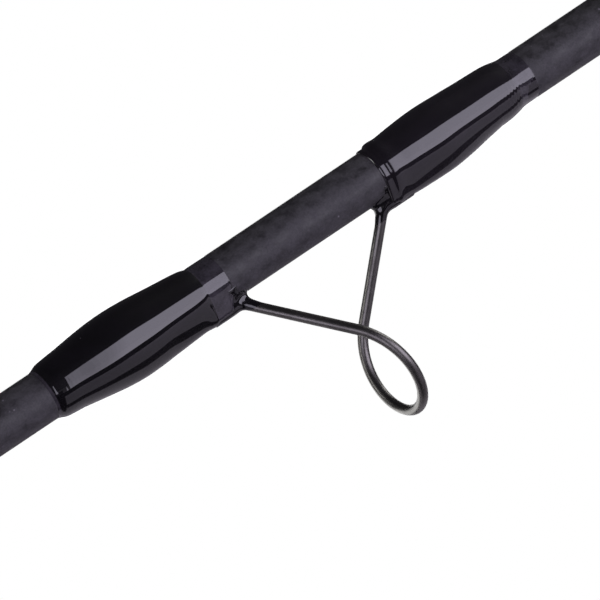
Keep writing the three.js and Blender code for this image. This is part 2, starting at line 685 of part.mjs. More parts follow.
// The spindle and the drag: a felt disc between the spindle's flange and the spool's plate.
function makeDrag() {
  const r = REEL;
  const d = r.drag;
  add(reel, 'spindle', turnedY([
    [-12.2, 0], [-12.2, r.spindle], [9.9, r.spindle], [9.9, 5.4], [11.2, 5.4],
    [11.2, r.spindle], [19.8, r.spindle], [20.2, 2.6], [20.2, 0],
  ], 16), MATERIAL.steel);
  add(reel, 'drag_disc', tubeY(...d.disc, d.inner, d.outer), MATERIAL.felt);
  add(reel, 'pressure_plate', tubeY(...d.plate, r.spindle + 0.4, d.outer), MATERIAL.steel);

  // The drag knob: a cup with a threaded boss on the spindle's end; the spring lies in it.
  add(reel, 'drag_knob', turnedY([
    [21.1, 0], [21.1, 3.4], [16.4, 3.4], [16.4, 4.7], [20.3, 4.7], [20.3, 8.6], [14.5, 8.6],
    [14.5, 13.2], [15.5, 14], [21, 14], [22.4, 12.4], [22.8, 8], [22.8, 0],
  ], 24), MATERIAL.black);
  const spring = r.spring;
  const steps = 12 * spring.coils;
  const coil = Array.from({ length: steps + 1 }, (_, i) => {
    const a = (i / 12) * TURN;
    const y = spring.start + (spring.length * i) / steps;
    return point(spring.radius * Math.cos(a), y, spring.radius * Math.sin(a));
  });
  add(reel, 'drag_spring', wire(coil, spring.wire, 6), MATERIAL.steel);
}
makeDrag();

// The foot: a plate hollowed to the seat's radius, on a pedestal screwed to the frame's pad.
function makeFoot() {
  const f = FOOT;
  const [start, end] = [f.start - REEL.x, f.end - REEL.x];
  const face = seatZ - BARREL.radius;
  const side = new THREE.Shape([
    [start, face + 2], [end, face + 2], [end, face - f.tip], [end - f.slope, face - f.thick],
    [start + f.slope, face - f.thick], [start, face - f.tip],
  ].map(([x, z]) => new THREE.Vector2(x, z)));
  const plate = toSolid(plateY(side, -f.width / 2, f.width / 2))
    .intersect(toSolid(rodX(start - 1, end + 1, f.round, 32).translate(0, 0, seatZ - f.roundDrop)));
  const pedestal = toSolid(plateY(new THREE.Shape([
    [-14, face - 2], [14, face - 2], [10, f.base + 4], [9.5, f.base + 0.3],
    [-9.5, f.base + 0.3], [-10, f.base + 4],
  ].map(([x, z]) => new THREE.Vector2(x, z))), -f.pedestal, f.pedestal));
  const foot = cut(
    join(plate, pedestal),
    toSolid(rodX(start - 2, end + 2, BARREL.radius + 0.15).translate(0, 0, seatZ)),
    ...f.screws.flatMap((x) => [
      toSolid(rodZ(f.base - 1, seatZ, SCREW.hole, 12).translate(x, 0, 0)),
      toSolid(rodZ(face - 2.6, seatZ, SCREW.headHole, 12).translate(x, 0, 0)),
    ]),
  );
  add(reel, 'reel_foot', toGeometry(foot), MATERIAL.black);
  f.screws.forEach((x, i) => {
    const screw = turnedZ([
      [f.base - 2.4, 0], [f.base - 2.4, SCREW.shank], [face - 2.3, SCREW.shank],
      [face - 2.3, SCREW.head], [face - 0.8, SCREW.head], [face - 0.8, 0],
    ], 12);
    add(reel, `foot_screw_${i + 1}`, screw, MATERIAL.steel).position.set(x, 0, 0);
  });
}
makeFoot();

// The handle, on a post that is riveted to the front flange, and the weight opposite it.
function makeHandle() {
  const h = HANDLE;
  const face = REEL.frontFlange[0] - 0.3;
  const place = (mesh, turn) =>
    mesh.position.set(h.radius * Math.cos(turn), 0, h.radius * Math.sin(turn));
  place(add(reel, 'handle_post', turnedY([
    [face, 0], [face, 3.8], [face - 1.6, 3.8], [face - 1.6, h.post], [h.end - 0.4, h.post],
    [h.end - 0.4, 2.8], [h.end - 1.6, 2.5], [h.end - 1.6, 0],
  ], 16), MATERIAL.steel), h.turn);
  place(add(reel, 'handle_knob', ringY([
    [h.start, h.post + RUN], [h.start, 3.9], [h.start - 2, 4.3], [h.start - 6, 3.7],
    [h.start - 12, 4.6], [h.start - 16.5, 5.6], [h.end + 0.6, 5.4], [h.end, 4.4], [h.end, h.post + RUN],
  ], 20), MATERIAL.black), h.turn);
  place(add(reel, 'counterweight', turnedY([
    [face, 0], [face, 5.4], [face - 1.6, 5.4], [face - 2.6, 4.4], [face - 2.6, 0],
  ], 20), MATERIAL.steel), h.turn + Math.PI);
}
makeHandle();

export default rodAndReel;
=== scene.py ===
"""The looks of a two-piece fly rod and its fly reel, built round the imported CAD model.

Lengths are in millimetres until a mesh is made. +X runs from the butt to the tip, the guides
and the reel hang on -Z, and the reel's handle is on -Y.
"""

import json
import math
import random

import bmesh
import bpy
import numpy as np
from mathutils import Matrix, Vector

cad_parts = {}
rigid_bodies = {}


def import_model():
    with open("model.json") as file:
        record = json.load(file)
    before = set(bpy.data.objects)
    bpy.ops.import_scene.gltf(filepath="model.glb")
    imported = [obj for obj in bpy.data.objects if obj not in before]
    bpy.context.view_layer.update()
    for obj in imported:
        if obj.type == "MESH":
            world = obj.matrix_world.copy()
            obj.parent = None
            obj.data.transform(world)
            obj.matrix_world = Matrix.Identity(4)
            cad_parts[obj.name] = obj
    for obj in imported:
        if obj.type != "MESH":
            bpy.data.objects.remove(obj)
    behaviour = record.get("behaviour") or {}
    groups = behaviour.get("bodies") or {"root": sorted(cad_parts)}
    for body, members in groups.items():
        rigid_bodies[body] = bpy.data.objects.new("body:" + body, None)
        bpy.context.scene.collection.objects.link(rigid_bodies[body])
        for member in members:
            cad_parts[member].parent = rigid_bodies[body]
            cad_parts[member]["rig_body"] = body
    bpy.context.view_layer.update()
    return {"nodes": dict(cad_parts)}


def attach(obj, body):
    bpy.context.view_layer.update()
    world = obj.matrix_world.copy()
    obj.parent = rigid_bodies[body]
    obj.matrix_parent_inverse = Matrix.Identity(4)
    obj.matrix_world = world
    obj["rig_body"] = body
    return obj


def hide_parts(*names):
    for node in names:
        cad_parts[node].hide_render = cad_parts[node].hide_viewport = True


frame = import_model()

MM = 0.001
TURN = 2 * math.pi

# ------------------------------------------------------------------ sizes, as the CAD has them

GLUE = 0.06
BUTT_START, BUTT_END, BUTT_WALL = 6, 943, 0.8
TIP_START, TIP_END, TIP_WALL = 888, 1820, 0.38
CAP_LENGTH, CAP_RADIUS = 10, 12.2
BARREL_START, BARREL_END, BARREL_RADIUS = 10.3, 52, 9.2
LOCK_RING = (21.3, 29.3, 12.4)
SLIDING_HOOD, FIXED_HOOD, HOOD_POCKET = (30, 47), (97, 112), 9
HOOD_RADIUS, HOOD_DROP, HOOD_GAP, HOOD_BAND = 12.2, 1.6, 0.12, 3.2
INSERT_START, INSERT_END, INSERT_RADIUS = 52.3, 112, 9.0
GRIP_START, GRIP_END, CORK_RING = 112.3, 280, 12.9
CHECK_START, CHECK_END = 280.3, 285
KEEPER_X, KEEPER_WIRE, KEEPER_HANG, KEEPER_RING = 306, 0.4, 2.25, 4.5
GUIDE_PLACES = (800, 985, 1165, 1330, 1477, 1607, 1722)
GUIDE_SCALES = (1, 0.9, 0.8, 0.72, 0.64, 0.57, 0.52)
STRIPPER_X = 610
REEL_X, REEL_Z = 72, -58.5
HANDLE_TURN, HANDLE_CIRCLE = 3.67, 25.5


def butt_radius(x):
    """The butt section's outer radius at x."""
    return 3.9 - 0.00225 * (x - 290)


def rod_radius(x):
    """The rod's outer radius at x. From TIP_START on that is the tip section's."""
    return butt_radius(x) if x < TIP_START else 3.0 - 0.0022 * (x - TIP_START)


# ------------------------------------------------------------------ camera

CAMERA_AIM = Vector((803.9, 0, -6.5))
CAMERA_TURN = math.radians(20)      # off square to the rod, towards its tip
CAMERA_ROLL = math.radians(34.13)   # the rod rises towards its butt, to the right
CAMERA_DISTANCE = 450
PICTURE_WIDTH = 61.8                # what the picture spans at the rod


def make_camera():
    towards = Vector((math.sin(CAMERA_TURN), math.cos(CAMERA_TURN), 0))
    level = Vector((-math.cos(CAMERA_TURN), math.sin(CAMERA_TURN), 0))
    plumb = Vector((0, 0, 1))
    right = level * math.cos(CAMERA_ROLL) - plumb * math.sin(CAMERA_ROLL)
    up = plumb * math.cos(CAMERA_ROLL) + level * math.sin(CAMERA_ROLL)
    data = bpy.data.cameras.new("camera")
    data.sensor_width = 36
    data.lens = data.sensor_width * CAMERA_DISTANCE / PICTURE_WIDTH
    data.clip_start = 0.01
    camera = bpy.data.objects.new("camera", data)
    camera.matrix_world = bpy_matrix(right, up, towards, (CAMERA_AIM + CAMERA_DISTANCE * towards) * MM)
    bpy.context.scene.collection.objects.link(camera)
    bpy.context.scene.camera = camera


def bpy_matrix(x_axis, y_axis, z_axis, place):
    """The 4 x 4 matrix of an object with those axes at that place."""
    rows = Matrix((x_axis, y_axis, z_axis)).transposed().to_4x4()
    rows.translation = place
    return rows


make_camera()

# ------------------------------------------------------------------ mesh helpers


def piece(points, faces, sharp=35):
    """A mesh object from points in mm, smooth but for edges sharper than so many degrees."""
    mesh = bpy.data.meshes.new("piece")
    mesh.from_pydata((np.asarray(points, float) * MM).tolist(), [], faces)
    work = bmesh.new()
    work.from_mesh(mesh)
    bmesh.ops.recalc_face_normals(work, faces=work.faces)
    work.to_mesh(mesh)
    work.free()
    mesh.shade_smooth()
    mesh.set_sharp_from_angle(angle=math.radians(sharp))
    made = bpy.data.objects.new("piece", mesh)
    bpy.context.scene.collection.objects.link(made)
    return made


def skin(rows, loop=False, sharp=35):
    """A closed surface through rows of points. Its rows are rings; loop joins the last to the first."""
    rows = np.asarray(rows, float)
    count, sides = rows.shape[:2]
    faces = []
    for i in range(count if loop else count - 1):
        a, b = i * sides, ((i + 1) % count) * sides
        faces += [(a + j, a + (j + 1) % sides, b + (j + 1) % sides, b + j) for j in range(sides)]
    if not loop:
        faces += [tuple(range(sides)), tuple(range((count - 1) * sides, count * sides))]
    return piece(rows.reshape(-1, 3), faces, sharp)


def rounded(profile, radius=0.3, steps=4, loop=False):
    """A profile with its corners rounded. A corner with little room gets a smaller round."""
    points = [Vector(p) for p in profile]
    last = len(points) - 1
    out = []
    for i, corner in enumerate(points):
        if not loop and i in (0, last):
            out.append(corner)
            continue
        before, after = points[i - 1] - corner, points[(i + 1) % len(points)] - corner
        half = before.angle(after, math.pi) / 2
        if half > math.radians(85) or half < math.radians(5):
            out.append(corner)
            continue
        reach = min(radius / math.tan(half), 0.45 * before.length, 0.45 * after.length)
        start, end = corner + before.normalized() * reach, corner + after.normalized() * reach
        for k in range(steps + 1):
            t = k / steps
            out.append(start * (1 - t) ** 2 + corner * 2 * t * (1 - t) + end * t * t)
    return [tuple(p) for p in out]


def ring(axis, along, radius, sides, middle=(0, 0, 0), turn=0):
    """A ring of points round a line parallel to an axis. radius is a number or one per side."""
    a = np.arange(sides) / sides * TURN + turn
    c, s = radius * np.cos(a), radius * np.sin(a)
    flat = np.full(sides, float(along))
    columns = {"x": (flat, c, s), "y": (s, flat, c), "z": (c, s, flat)}[axis]
    return np.stack(columns, 1) + np.asarray(middle, float)


def turned(axis, profile, sides=64, middle=(0, 0, 0), loop=False, sharp=35, turn=0.0):
    """A lathe piece. profile is a list of (distance along the axis, radius)."""
    tiny = 0.004        # stands for a radius of nothing, to keep the corners apart
    rows = [ring(axis, along, max(r, tiny), sides, middle, turn) for along, r in profile]
    return skin(rows, loop, sharp)


def lathed(node, look, profile, edge=0.3, steps=3, sides=96, axis="x", middle=(0, 0, 0), loop=True):
    """A node turned on a lathe, its corners rounded by edge mm."""
    show(node, turned(axis, rounded(profile, edge, steps, loop), sides, middle, loop), look)


def smooth_path(points, step):
    """Points a step apart on a smooth curve through the given ones."""
    p = np.asarray(points, float)
    p = np.vstack([2 * p[0] - p[1], p, 2 * p[-1] - p[-2]])
    out = []
    for i in range(1, len(p) - 2):
        n = max(1, int(np.linalg.norm(p[i + 1] - p[i]) / step))
        t = (np.arange(n) / n)[:, None]
        a, b, c, d = p[i - 1], p[i], p[i + 1], p[i + 2]
        out.append(0.5 * (2 * b + (c - a) * t + (2 * a - 5 * b + 4 * c - d) * t ** 2
                          + (3 * b - a - 3 * c + d) * t ** 3))
    return np.vstack(out + [p[-2][None]])


def sweep(path, radius, sides=20):
    """A round wire with domed ends. radius is a number or a function of the share of the path."""
    path = np.asarray(path, float)
    tangents = np.gradient(path, axis=0)
    tangents /= np.linalg.norm(tangents, axis=1)[:, None]
    side = np.cross(tangents[0], (0.31, 0.17, 0.93))
    a = np.arange(sides) / sides * TURN
    rows = []
    for i, (centre, along) in enumerate(zip(path, tangents)):
        side = side - along * (side @ along)
        side /= np.linalg.norm(side)
        r = radius(i / (len(path) - 1)) if callable(radius) else radius
        arms = np.cos(a)[:, None] * side + np.sin(a)[:, None] * np.cross(along, side)
        rows.append(centre + r * arms)
    domes = []
    for i, way in ((0, -1), (-1, 1)):
        arm = rows[i] - path[i]
        r = np.linalg.norm(arm[0])
        domes.append([path[i] + arm * math.cos(t) + way * tangents[i] * r * math.sin(t)
                      for t in (0.38, 0.76, 1.14, 1.52)])
    return skin(domes[0][::-1] + rows + domes[1], sharp=50)


def baked(made):
    """The object with its modifiers applied."""
    graph = bpy.context.evaluated_depsgraph_get()
    mesh = bpy.data.meshes.new_from_object(made.evaluated_get(graph))
    made.modifiers.clear()
    old, made.data = made.data, mesh
    bpy.data.meshes.remove(old)
    return made


def show(node, made, look, weigh=True):
    """made stands for the CAD node, rides on its body and takes a material."""
    if weigh:
        # Large flat faces shade flat, up to the rounds at their edges.
        made.modifiers.new("normals", "WEIGHTED_NORMAL").keep_sharp = True
        baked(made)
    made.name = made.data.name = f"{node}_fine"
    made.data.materials.append(look)
    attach(made, frame["nodes"][node]["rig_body"])
    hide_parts(node)


# ------------------------------------------------------------------ materials


class Look:
    """A procedural material: its shader, and short calls for the nodes that feed it."""

    def __init__(self, name, **values):
        self.material = bpy.data.materials.new(name)
        self.material.use_nodes = True
        self.tree = self.material.node_tree
        self.shader = self.tree.nodes["Principled BSDF"]
        for key, value in values.items():
            self.shader.inputs[key.replace("_", " ")].default_value = value
        self.place = self.node("TexCoord").outputs["Object"]

    def node(self, kind, inputs=None, **settings):
        made = self.tree.nodes.new("ShaderNode" + kind)
        for key, value in settings.items():
            setattr(made, key, value)
        for key, value in (inputs or {}).items():
            if isinstance(value, bpy.types.NodeSocket):
                self.tree.links.new(value, made.inputs[key])
            else:
                made.inputs[key].default_value = value
        return made

    def stretched(self, x=1, y=1, z=1, offset=(0, 0, 0)):
        """Object coordinates, scaled and shifted."""
        settings = {"Vector": self.place, "Scale": (x, y, z), "Location": offset}
        return self.node("Mapping", settings).outputs[0]

    def noise(self, size, detail=3, vector=None, rough=0.55):
        """Noise whose spots are about size mm wide."""
        found = self.node("TexNoise", {
            "Vector": vector or self.place, "Scale": 1 / (size * MM), "Detail": detail, "Roughness": rough,
        })
        return found.outputs[0]

    def cells(self, size, vector=None):
        """The distance to the nearest of many points, about size mm apart."""
        scale = 1 / (size * MM)
        return self.node("TexVoronoi", {"Vector": vector or self.place, "Scale": scale}).outputs["Distance"]

    def bands(self, pitch, direction="X", wobble=0.0, rings=False, vector=None):
        """Even bands, pitch mm apart, along an axis or in rings round it."""
        kind = "rings" if rings else "bands"
        found = self.node("TexWave", {
            "Vector": vector or self.place, "Scale": TURN / 20 / (pitch * MM), "Distortion": wobble,
            "Detail": 1.0, "Detail Scale": 1.0,
        }, wave_type=kind.upper(), **{f"{kind}_direction": direction})
        return found.outputs["Fac"]

    def math(self, operation, a, b=0.0):
        return self.node("Math", {0: a, 1: b}, operation=operation).outputs[0]

    def sum(self, *terms):
        """The sum of (value, weight) pairs."""
        total = self.math("MULTIPLY", *terms[0])
        for value, weight in terms[1:]:
            total = self.math("ADD", total, self.math("MULTIPLY", value, weight))
        return total

    def spots(self, size, near, far, patch, start, end):
        """Round spots about size mm apart, in patches of noise about patch mm wide."""
        round_spots = self.between(self.cells(size), near, far, 1, 0)
        return self.math("MULTIPLY", round_spots, self.between(self.noise(patch, 2), start, end))

    def between(self, value, low, high, to_low=0.0, to_high=1.0):
        return self.node("MapRange", {
            "Value": value, "From Min": low, "From Max": high, "To Min": to_low, "To Max": to_high,
        }).outputs[0]

    def ramp(self, value, *stops):
        """A colour from a value. Each stop is (place, (r, g, b))."""
        made = self.node("ValToRGB", {"Fac": value})
        bar = made.color_ramp.elements
        while len(bar) < len(stops):
            bar.new(0.5)
        for element, (place, color) in zip(bar, stops):
            element.position, element.color = place, (*color, 1)
        return made.outputs[0]

    def mix(self, share, a, b):
        made = self.node("Mix", data_type="RGBA")
        for key, value in (("Factor", share), ("A", a), ("B", b)):
            socket = next(s for s in made.inputs if s.name == key and s.enabled)
            if isinstance(value, bpy.types.NodeSocket):
                self.tree.links.new(value, socket)
            else:
                socket.default_value = (*value, 1) if isinstance(value, tuple) else value
        return next(s for s in made.outputs if s.enabled)

    def set(self, key, value):
        self.tree.links.new(value, self.shader.inputs[key])

    def bump(self, height, depth, strength=1.0, under=None, key="Normal"):
        """Bump of depth mm from a height of 0 to 1, over an earlier bump."""
        inputs = {"Height": height, "Distance": depth * MM, "Strength": strength}
        if under is not None:
            inputs["Normal"] = under
        found = self.node("Bump", inputs).outputs[0]
        if key:
            self.set(key, found)
        return found


VARNISH = {"Coat_Weight": 1.0, "Coat_IOR": 1.5, "Specular_IOR_Level": 0.05}


def blank_look(name, dark, light, **more):
    """Unsanded graphite: dull dark grey, mottled and specked."""
    look = Look(name, **more)
    specks = look.noise(0.22, 4, rough=0.75)
    mottle = look.noise(1.1, 4, look.stretched(0.8), 0.65)
    clouds = look.noise(7, 3, look.stretched(0.4))
    shade = look.sum((specks, 0.38), (mottle, 0.42), (clouds, 0.2))
    toned = look.ramp(shade, (0.4, dark), (0.61, light))
    # Light flecks of resin and dust lie here and there.
    flecks = look.spots(1.35, 0.05, 0.12, 0.9, 0.5, 0.58)
    look.set("Base Color", look.mix(look.math("MULTIPLY", flecks, 0.8), toned, (0.13, 0.12, 0.14)))
    look.set("Roughness", look.between(mottle, 0.35, 0.65, 0.44, 0.72))
    look.bump(shade, 0.02, 0.6)
    return look.material


def wrap_look(name, dark, light):
    """Black thread seen through thick clear varnish, with a few specks of dust in it."""
    look = Look(name, Roughness=0.5, Coat_Roughness=0.025, **VARNISH)
    thread = look.bands(0.17, "X", 0.6)
    stain = look.noise(1.6, 3, look.stretched(0.6))
    toned = look.ramp(look.sum((thread, 0.25), (stain, 0.75)), (0.25, dark), (0.8, light))
    dust = look.spots(2.1, 0.018, 0.034, 1.7, 0.5, 0.56)
    look.set("Base Color", look.mix(look.math("MULTIPLY", dust, 0.8), toned, (0.16, 0.15, 0.17)))
    look.bump(thread, 0.03, 0.5)
    look.set("Coat Normal", look.bump(look.noise(3.2, 2, look.stretched(0.55)), 0.012, 0.5, key=None))
    return look.material


def wire_look():
    """Blackened hard wire with a satin shine."""
    look = Look("black_nickel_wire", Metallic=1.0)
    stain = look.noise(2.2, 3)
    look.set("Base Color", look.ramp(stain, (0.3, (0.084, 0.080, 0.076)), (0.7, (0.134, 0.129, 0.122))))
    look.set("Roughness", look.between(look.noise(3.1, 2), 0.3, 0.7, 0.33, 0.42))
    look.bump(look.noise(2.4, 2), 0.003, 0.3)
    return look.material


BLANK = blank_look("matt_blank", (0.0062, 0.0057, 0.0068), (0.037, 0.0346, 0.0398), Specular_IOR_Level=0.38)
FILM = blank_look("varnished_blank", (0.0092, 0.0080, 0.0106), (0.034, 0.0308, 0.038),
                  Coat_Roughness=0.03, **VARNISH)
WIRE = wire_look()
WRAP = wrap_look("varnished_thread", (0.0004, 0.0003, 0.0006), (0.0026, 0.0018, 0.0036))
# Painted light: the butt-side wraps get a lighter copy of the same thread colour, which stands for the
# brighter light on that side of each guide.
THREAD_PAINTED_LIGHTER = wrap_look("varnished_thread_painted_lighter", (0.0034, 0.0026, 0.0040), (0.0078, 0.0062, 0.0090))

# ------------------------------------------------------------------ blank


def make_blank():
    """The two tubes of the rod, with soft edges where they end."""
    step = 40
    lathed("butt_blank", BLANK, [
        (BUTT_START, butt_radius(BUTT_START) - BUTT_WALL), (BUTT_START, butt_radius(BUTT_START)),
        *[(x, butt_radius(x)) for x in range(step, TIP_START, step)],
        (BUTT_END, butt_radius(BUTT_END)), (BUTT_END, butt_radius(BUTT_END) - BUTT_WALL),
    ], 0.2)
    bore, stop, thick = butt_radius(BUTT_END) + GLUE, BUTT_END + 4, 0.7
    lathed("tip_blank", BLANK, [
        (TIP_START, bore + 0.12), (TIP_START, rod_radius(TIP_START)),
        *[(x, rod_radius(x)) for x in range(TIP_START + 32, TIP_END, step)],
        (TIP_END, rod_radius(TIP_END)), (TIP_END, rod_radius(TIP_END) - TIP_WALL),
        (stop, rod_radius(stop) - thick), (BUTT_END + 0.3, bore),
    ], 0.15)


make_blank()

# ------------------------------------------------------------------ snake guides and their wraps

# For the full-size guide: the ring's radius, and how far its middle hangs below the blank; how far
# out a leg leaves its foot and meets the ring; how far along the rod the ring's bottom leans.
WIRE_RADIUS, GUIDE_RING, GUIDE_DROP = 0.575, 6.7, 13.08
LEG_ROOT, LEG_SHIFT, RING_LEAN, KNEE_BEND = 9.45, 2.64, -0.4, 1.35
FOOT_TIP, FOOT_BUTT = 28, 25.5


def bend(before, corner, after, radius, steps):
    """The points of a round bend at corner."""
    back, on = (before - corner).normalized(), (after - corner).normalized()
    half = back.angle(on) / 2
    reach = radius / math.tan(half)
    centre = corner + (back + on).normalized() * (radius / math.sin(half))
    start, end = corner + back * reach - centre, corner + on * reach - centre
    sweep_angle = math.pi - 2 * half
    return [centre + start * (math.sin(sweep_angle * (1 - k / steps)) / math.sin(sweep_angle))
            + end * (math.sin(sweep_angle * k / steps) / math.sin(sweep_angle))
            for k in range(steps + 1)]


def wire_size(scale):
    return WIRE_RADIUS * (0.4 + 0.6 * scale)


def guide_path(centre, scale):
    """The wire's centre line, from the toe on the tip side round to the toe on the butt side."""
    w = wire_size(scale)
    hoop = GUIDE_RING * scale
    middle = -(rod_radius(centre) + GUIDE_DROP * scale)

    def foot_z(x):
        return -(rod_radius(x) + GLUE + w)

    root_out, root_z = LEG_ROOT * scale, foot_z(centre)
    # A leg is tangent to the ring seen along the rod, and its slope along the rod runs on.
    tangent = math.pi / 2 + math.asin(hoop / (root_z - middle))
    leg_x, leg_y = LEG_SHIFT * scale, hoop * math.sin(tangent)
    leg_z = middle - hoop * math.cos(tangent)
    lean = RING_LEAN * scale
    slope = (root_out - leg_x) / (root_z - leg_z) * hoop * math.sin(tangent)
    x1, s1 = leg_x - lean * tangent, slope - lean
    cubic = (5 * x1 - tangent * s1) / (2 * tangent ** 3)
    quintic = (tangent * s1 - 3 * x1) / (2 * tangent ** 5)

    hoop_points = []
    for share in np.linspace(1, -1, 97):
        t = tangent * float(share)
        x = centre + lean * t + cubic * t ** 3 + quintic * t ** 5
        hoop_points.append(Vector((x, hoop * math.sin(t), middle - hoop * math.cos(t))))

    def leg(side, length):
        root = Vector((centre + side * root_out, 0, foot_z(centre + side * root_out)))
        toe = Vector((centre + side * length, 0, foot_z(centre + side * length)))
        knee = Vector((centre + side * leg_x, side * leg_y, leg_z))
        knee_bend = bend(toe, root, knee, KNEE_BEND * scale, 12)
        foot = [toe.lerp(knee_bend[0], k / 8) for k in range(8)]
        return foot + knee_bend + [knee_bend[-1].lerp(knee, k / 12) for k in range(1, 12)]

    return leg(1, FOOT_TIP * scale) + hoop_points + leg(-1, FOOT_BUTT * scale)[::-1]


def make_guide_wire(node, centre, scale):
    """One bent wire. Its feet are ground to wedges on their lower side."""
    w, ground = wire_size(scale), 0.72
    made = sweep(guide_path(centre, scale), w, 24 if scale == 1 else 14)
    for v in made.data.vertices:
        x = v.co.x / MM
        out = abs(x - centre)
        length = (FOOT_TIP if x > centre else FOOT_BUTT) * scale
        start = (LEG_ROOT + 2) * scale
        if out > start:
            top = -(rod_radius(x) + GLUE)
            left = 1 - ground * min(1, (out - start) / (length - start))
            v.co.z = (top + (v.co.z / MM - top) * left) * MM
    show(node, made, WIRE, weigh=False)


def wrap_section(x, above, below, sides, fat=1.3):
    """A ring round the blank at x: thread and varnish over the blank, fuller over the foot.

    It is drawn by its support function, the smooth greater of the blank's circle and a smaller
    circle round the foot, so it is convex as tight thread makes it.
    """
    large = rod_radius(x) + above
    low = rod_radius(x) + max(below, above)
    small = min(fat + 0.25 * above, large)
    drop = low - small
    turn = np.arange(sides) / sides * TURN
    power, least = 26.0, 0.05
    reach = np.maximum(drop * np.cos(turn) + small, least)
    total = large ** power + reach ** power
    height = total ** (1 / power)
    slope = total ** (1 / power - 1) * reach ** (power - 1) * (-drop * np.sin(turn)) * (reach > least)
    # Straight down, the section keeps its exact thickness.
    height = height * (1 + (low / height[0] - 1) * np.clip(np.cos(turn), 0, 1))
    y = height * np.sin(turn) + slope * np.cos(turn)
    z = -(height * np.cos(turn) - slope * np.sin(turn))
    return np.stack([np.full(sides, float(x)), y, z], 1)


def lining_ring(x, radius, sides):
    """A plain ring with its points at the same turns as wrap_section's."""
    turn = np.arange(sides) / sides * TURN
    return np.stack([np.full(sides, float(x)), radius * np.sin(turn), -radius * np.cos(turn)], 1)


SIDES = (("tip", 1), ("butt", -1))
THREAD_PITCH = 0.47                 # of the turns that show through the varnish
RELIEF_AT, RELIEF_SPAN = 1.2, 0.45  # where round the blank they show, from straight down
THREAD_ENDS = (-1, 99)              # thread from end to end, with no film past it


def make_wrap(node, centre, side, outline, scale=1, thread=THREAD_ENDS, sides=64, step=0.25, ripple=0.01,
              seed=0, relief=0.0):
    """A varnished thread wrap.

    outline is a list of (distance out from the guide's middle, thickness above the blank,
    thickness over the foot). thread is where the thread starts and ends; past it the varnish
    film lies on the bare blank.
    """
    thin, least, gap = 0.35 + 0.65 * scale, 0.012, 0.004
    points = smooth_path([(out * scale, above * thin, below * thin) for out, above, below in outline], step)
    chance = random.Random(seed)
    phases = [chance.uniform(0, TURN) for _ in range(6)]
    rows = []
    for out, above, below in points:
        row = wrap_section(centre + side * out, max(above, least), max(below, least), sides)
        # Varnish settles unevenly: long shallow waves round and along the wrap.
        a = np.arctan2(row[:, 1], -row[:, 2])
        swell = (np.sin(a + out * 0.37 + phases[0]) + 0.6 * np.sin(2 * a - out * 0.61 + phases[1])
                 + 0.4 * np.sin(3 * a + out * 1.1 + phases[2]))
        # The last turns of thread show through the varnish, where it thins out.
        left = thread[1] * scale - out
        turns = relief * math.cos(out / THREAD_PITCH * TURN) * max(0, 1 - abs(left - 0.6) / 3.2)
        turns = turns * np.exp(-((a - RELIEF_AT) / RELIEF_SPAN) ** 2)
        radial = row[:, 1:] / np.linalg.norm(row[:, 1:], axis=1)[:, None]
        row[:, 1:] += radial * (ripple * min(1, above / 0.4) * swell + turns)[:, None]
        rows.append(row)
    for out in (points[-1][0], (points[-1][0] + points[0][0]) / 2, points[0][0]):
        x = centre + side * out
        rows.append(lining_ring(x, rod_radius(x) + gap, sides))
    made = skin(rows, loop=True, sharp=60)
    # A butt-side wrap takes the lighter copy of the thread colour, which is painted light.
    show(node, made, WRAP if side > 0 else THREAD_PAINTED_LIGHTER, weigh=False)
    made.data.materials.append(FILM)
    for face in made.data.polygons:
        out = abs(face.center.x / MM - centre) / scale
        face.material_index = 0 if thread[0] <= out <= thread[1] else 1


# Distance out, thickness above the blank, thickness over the foot. The first rows are the thin
# film of varnish that runs past the thread, next to the guide's leg.
TIP_WRAP = [
    (10.0, 0.0, 0.0), (10.2, 0.02, 0.3), (10.8, 0.03, 1.12), (11.6, 0.04, 1.18), (12.6, 0.045, 1.24),
    (12.95, 0.13, 1.30), (13.4, 0.24, 1.27), (14.5, 0.40, 1.20), (17.8, 0.77, 1.39), (20.0, 1.0, 1.54),
    (22.2, 1.12, 1.58), (24.4, 1.08, 1.42), (26.6, 0.92, 1.10), (28.8, 0.69, 0.74), (30.6, 0.53, 0.46),
    (31.5, 0.40, 0.32), (32.1, 0.17, 0.16), (32.5, 0.03, 0.03),
]
BUTT_WRAP = [
    (10.3, 0.02, 0.8), (10.42, 0.13, 1.12), (10.6, 0.19, 1.2), (11.1, 0.23, 1.24), (11.45, 0.41, 1.32),
    (11.9, 0.47, 1.28), (12.9, 0.44, 1.25), (14.4, 0.56, 1.31), (17.0, 0.72, 1.40), (19.0, 0.76, 1.38),
    (21.6, 0.65, 1.12), (23.8, 0.54, 0.77), (26.0, 0.48, 0.46), (27.3, 0.41, 0.32), (28.2, 0.28, 0.20),
    (29.3, 0.07, 0.05), (30.6, 0.03, 0.03), (30.9, 0.012, 0.012),
]


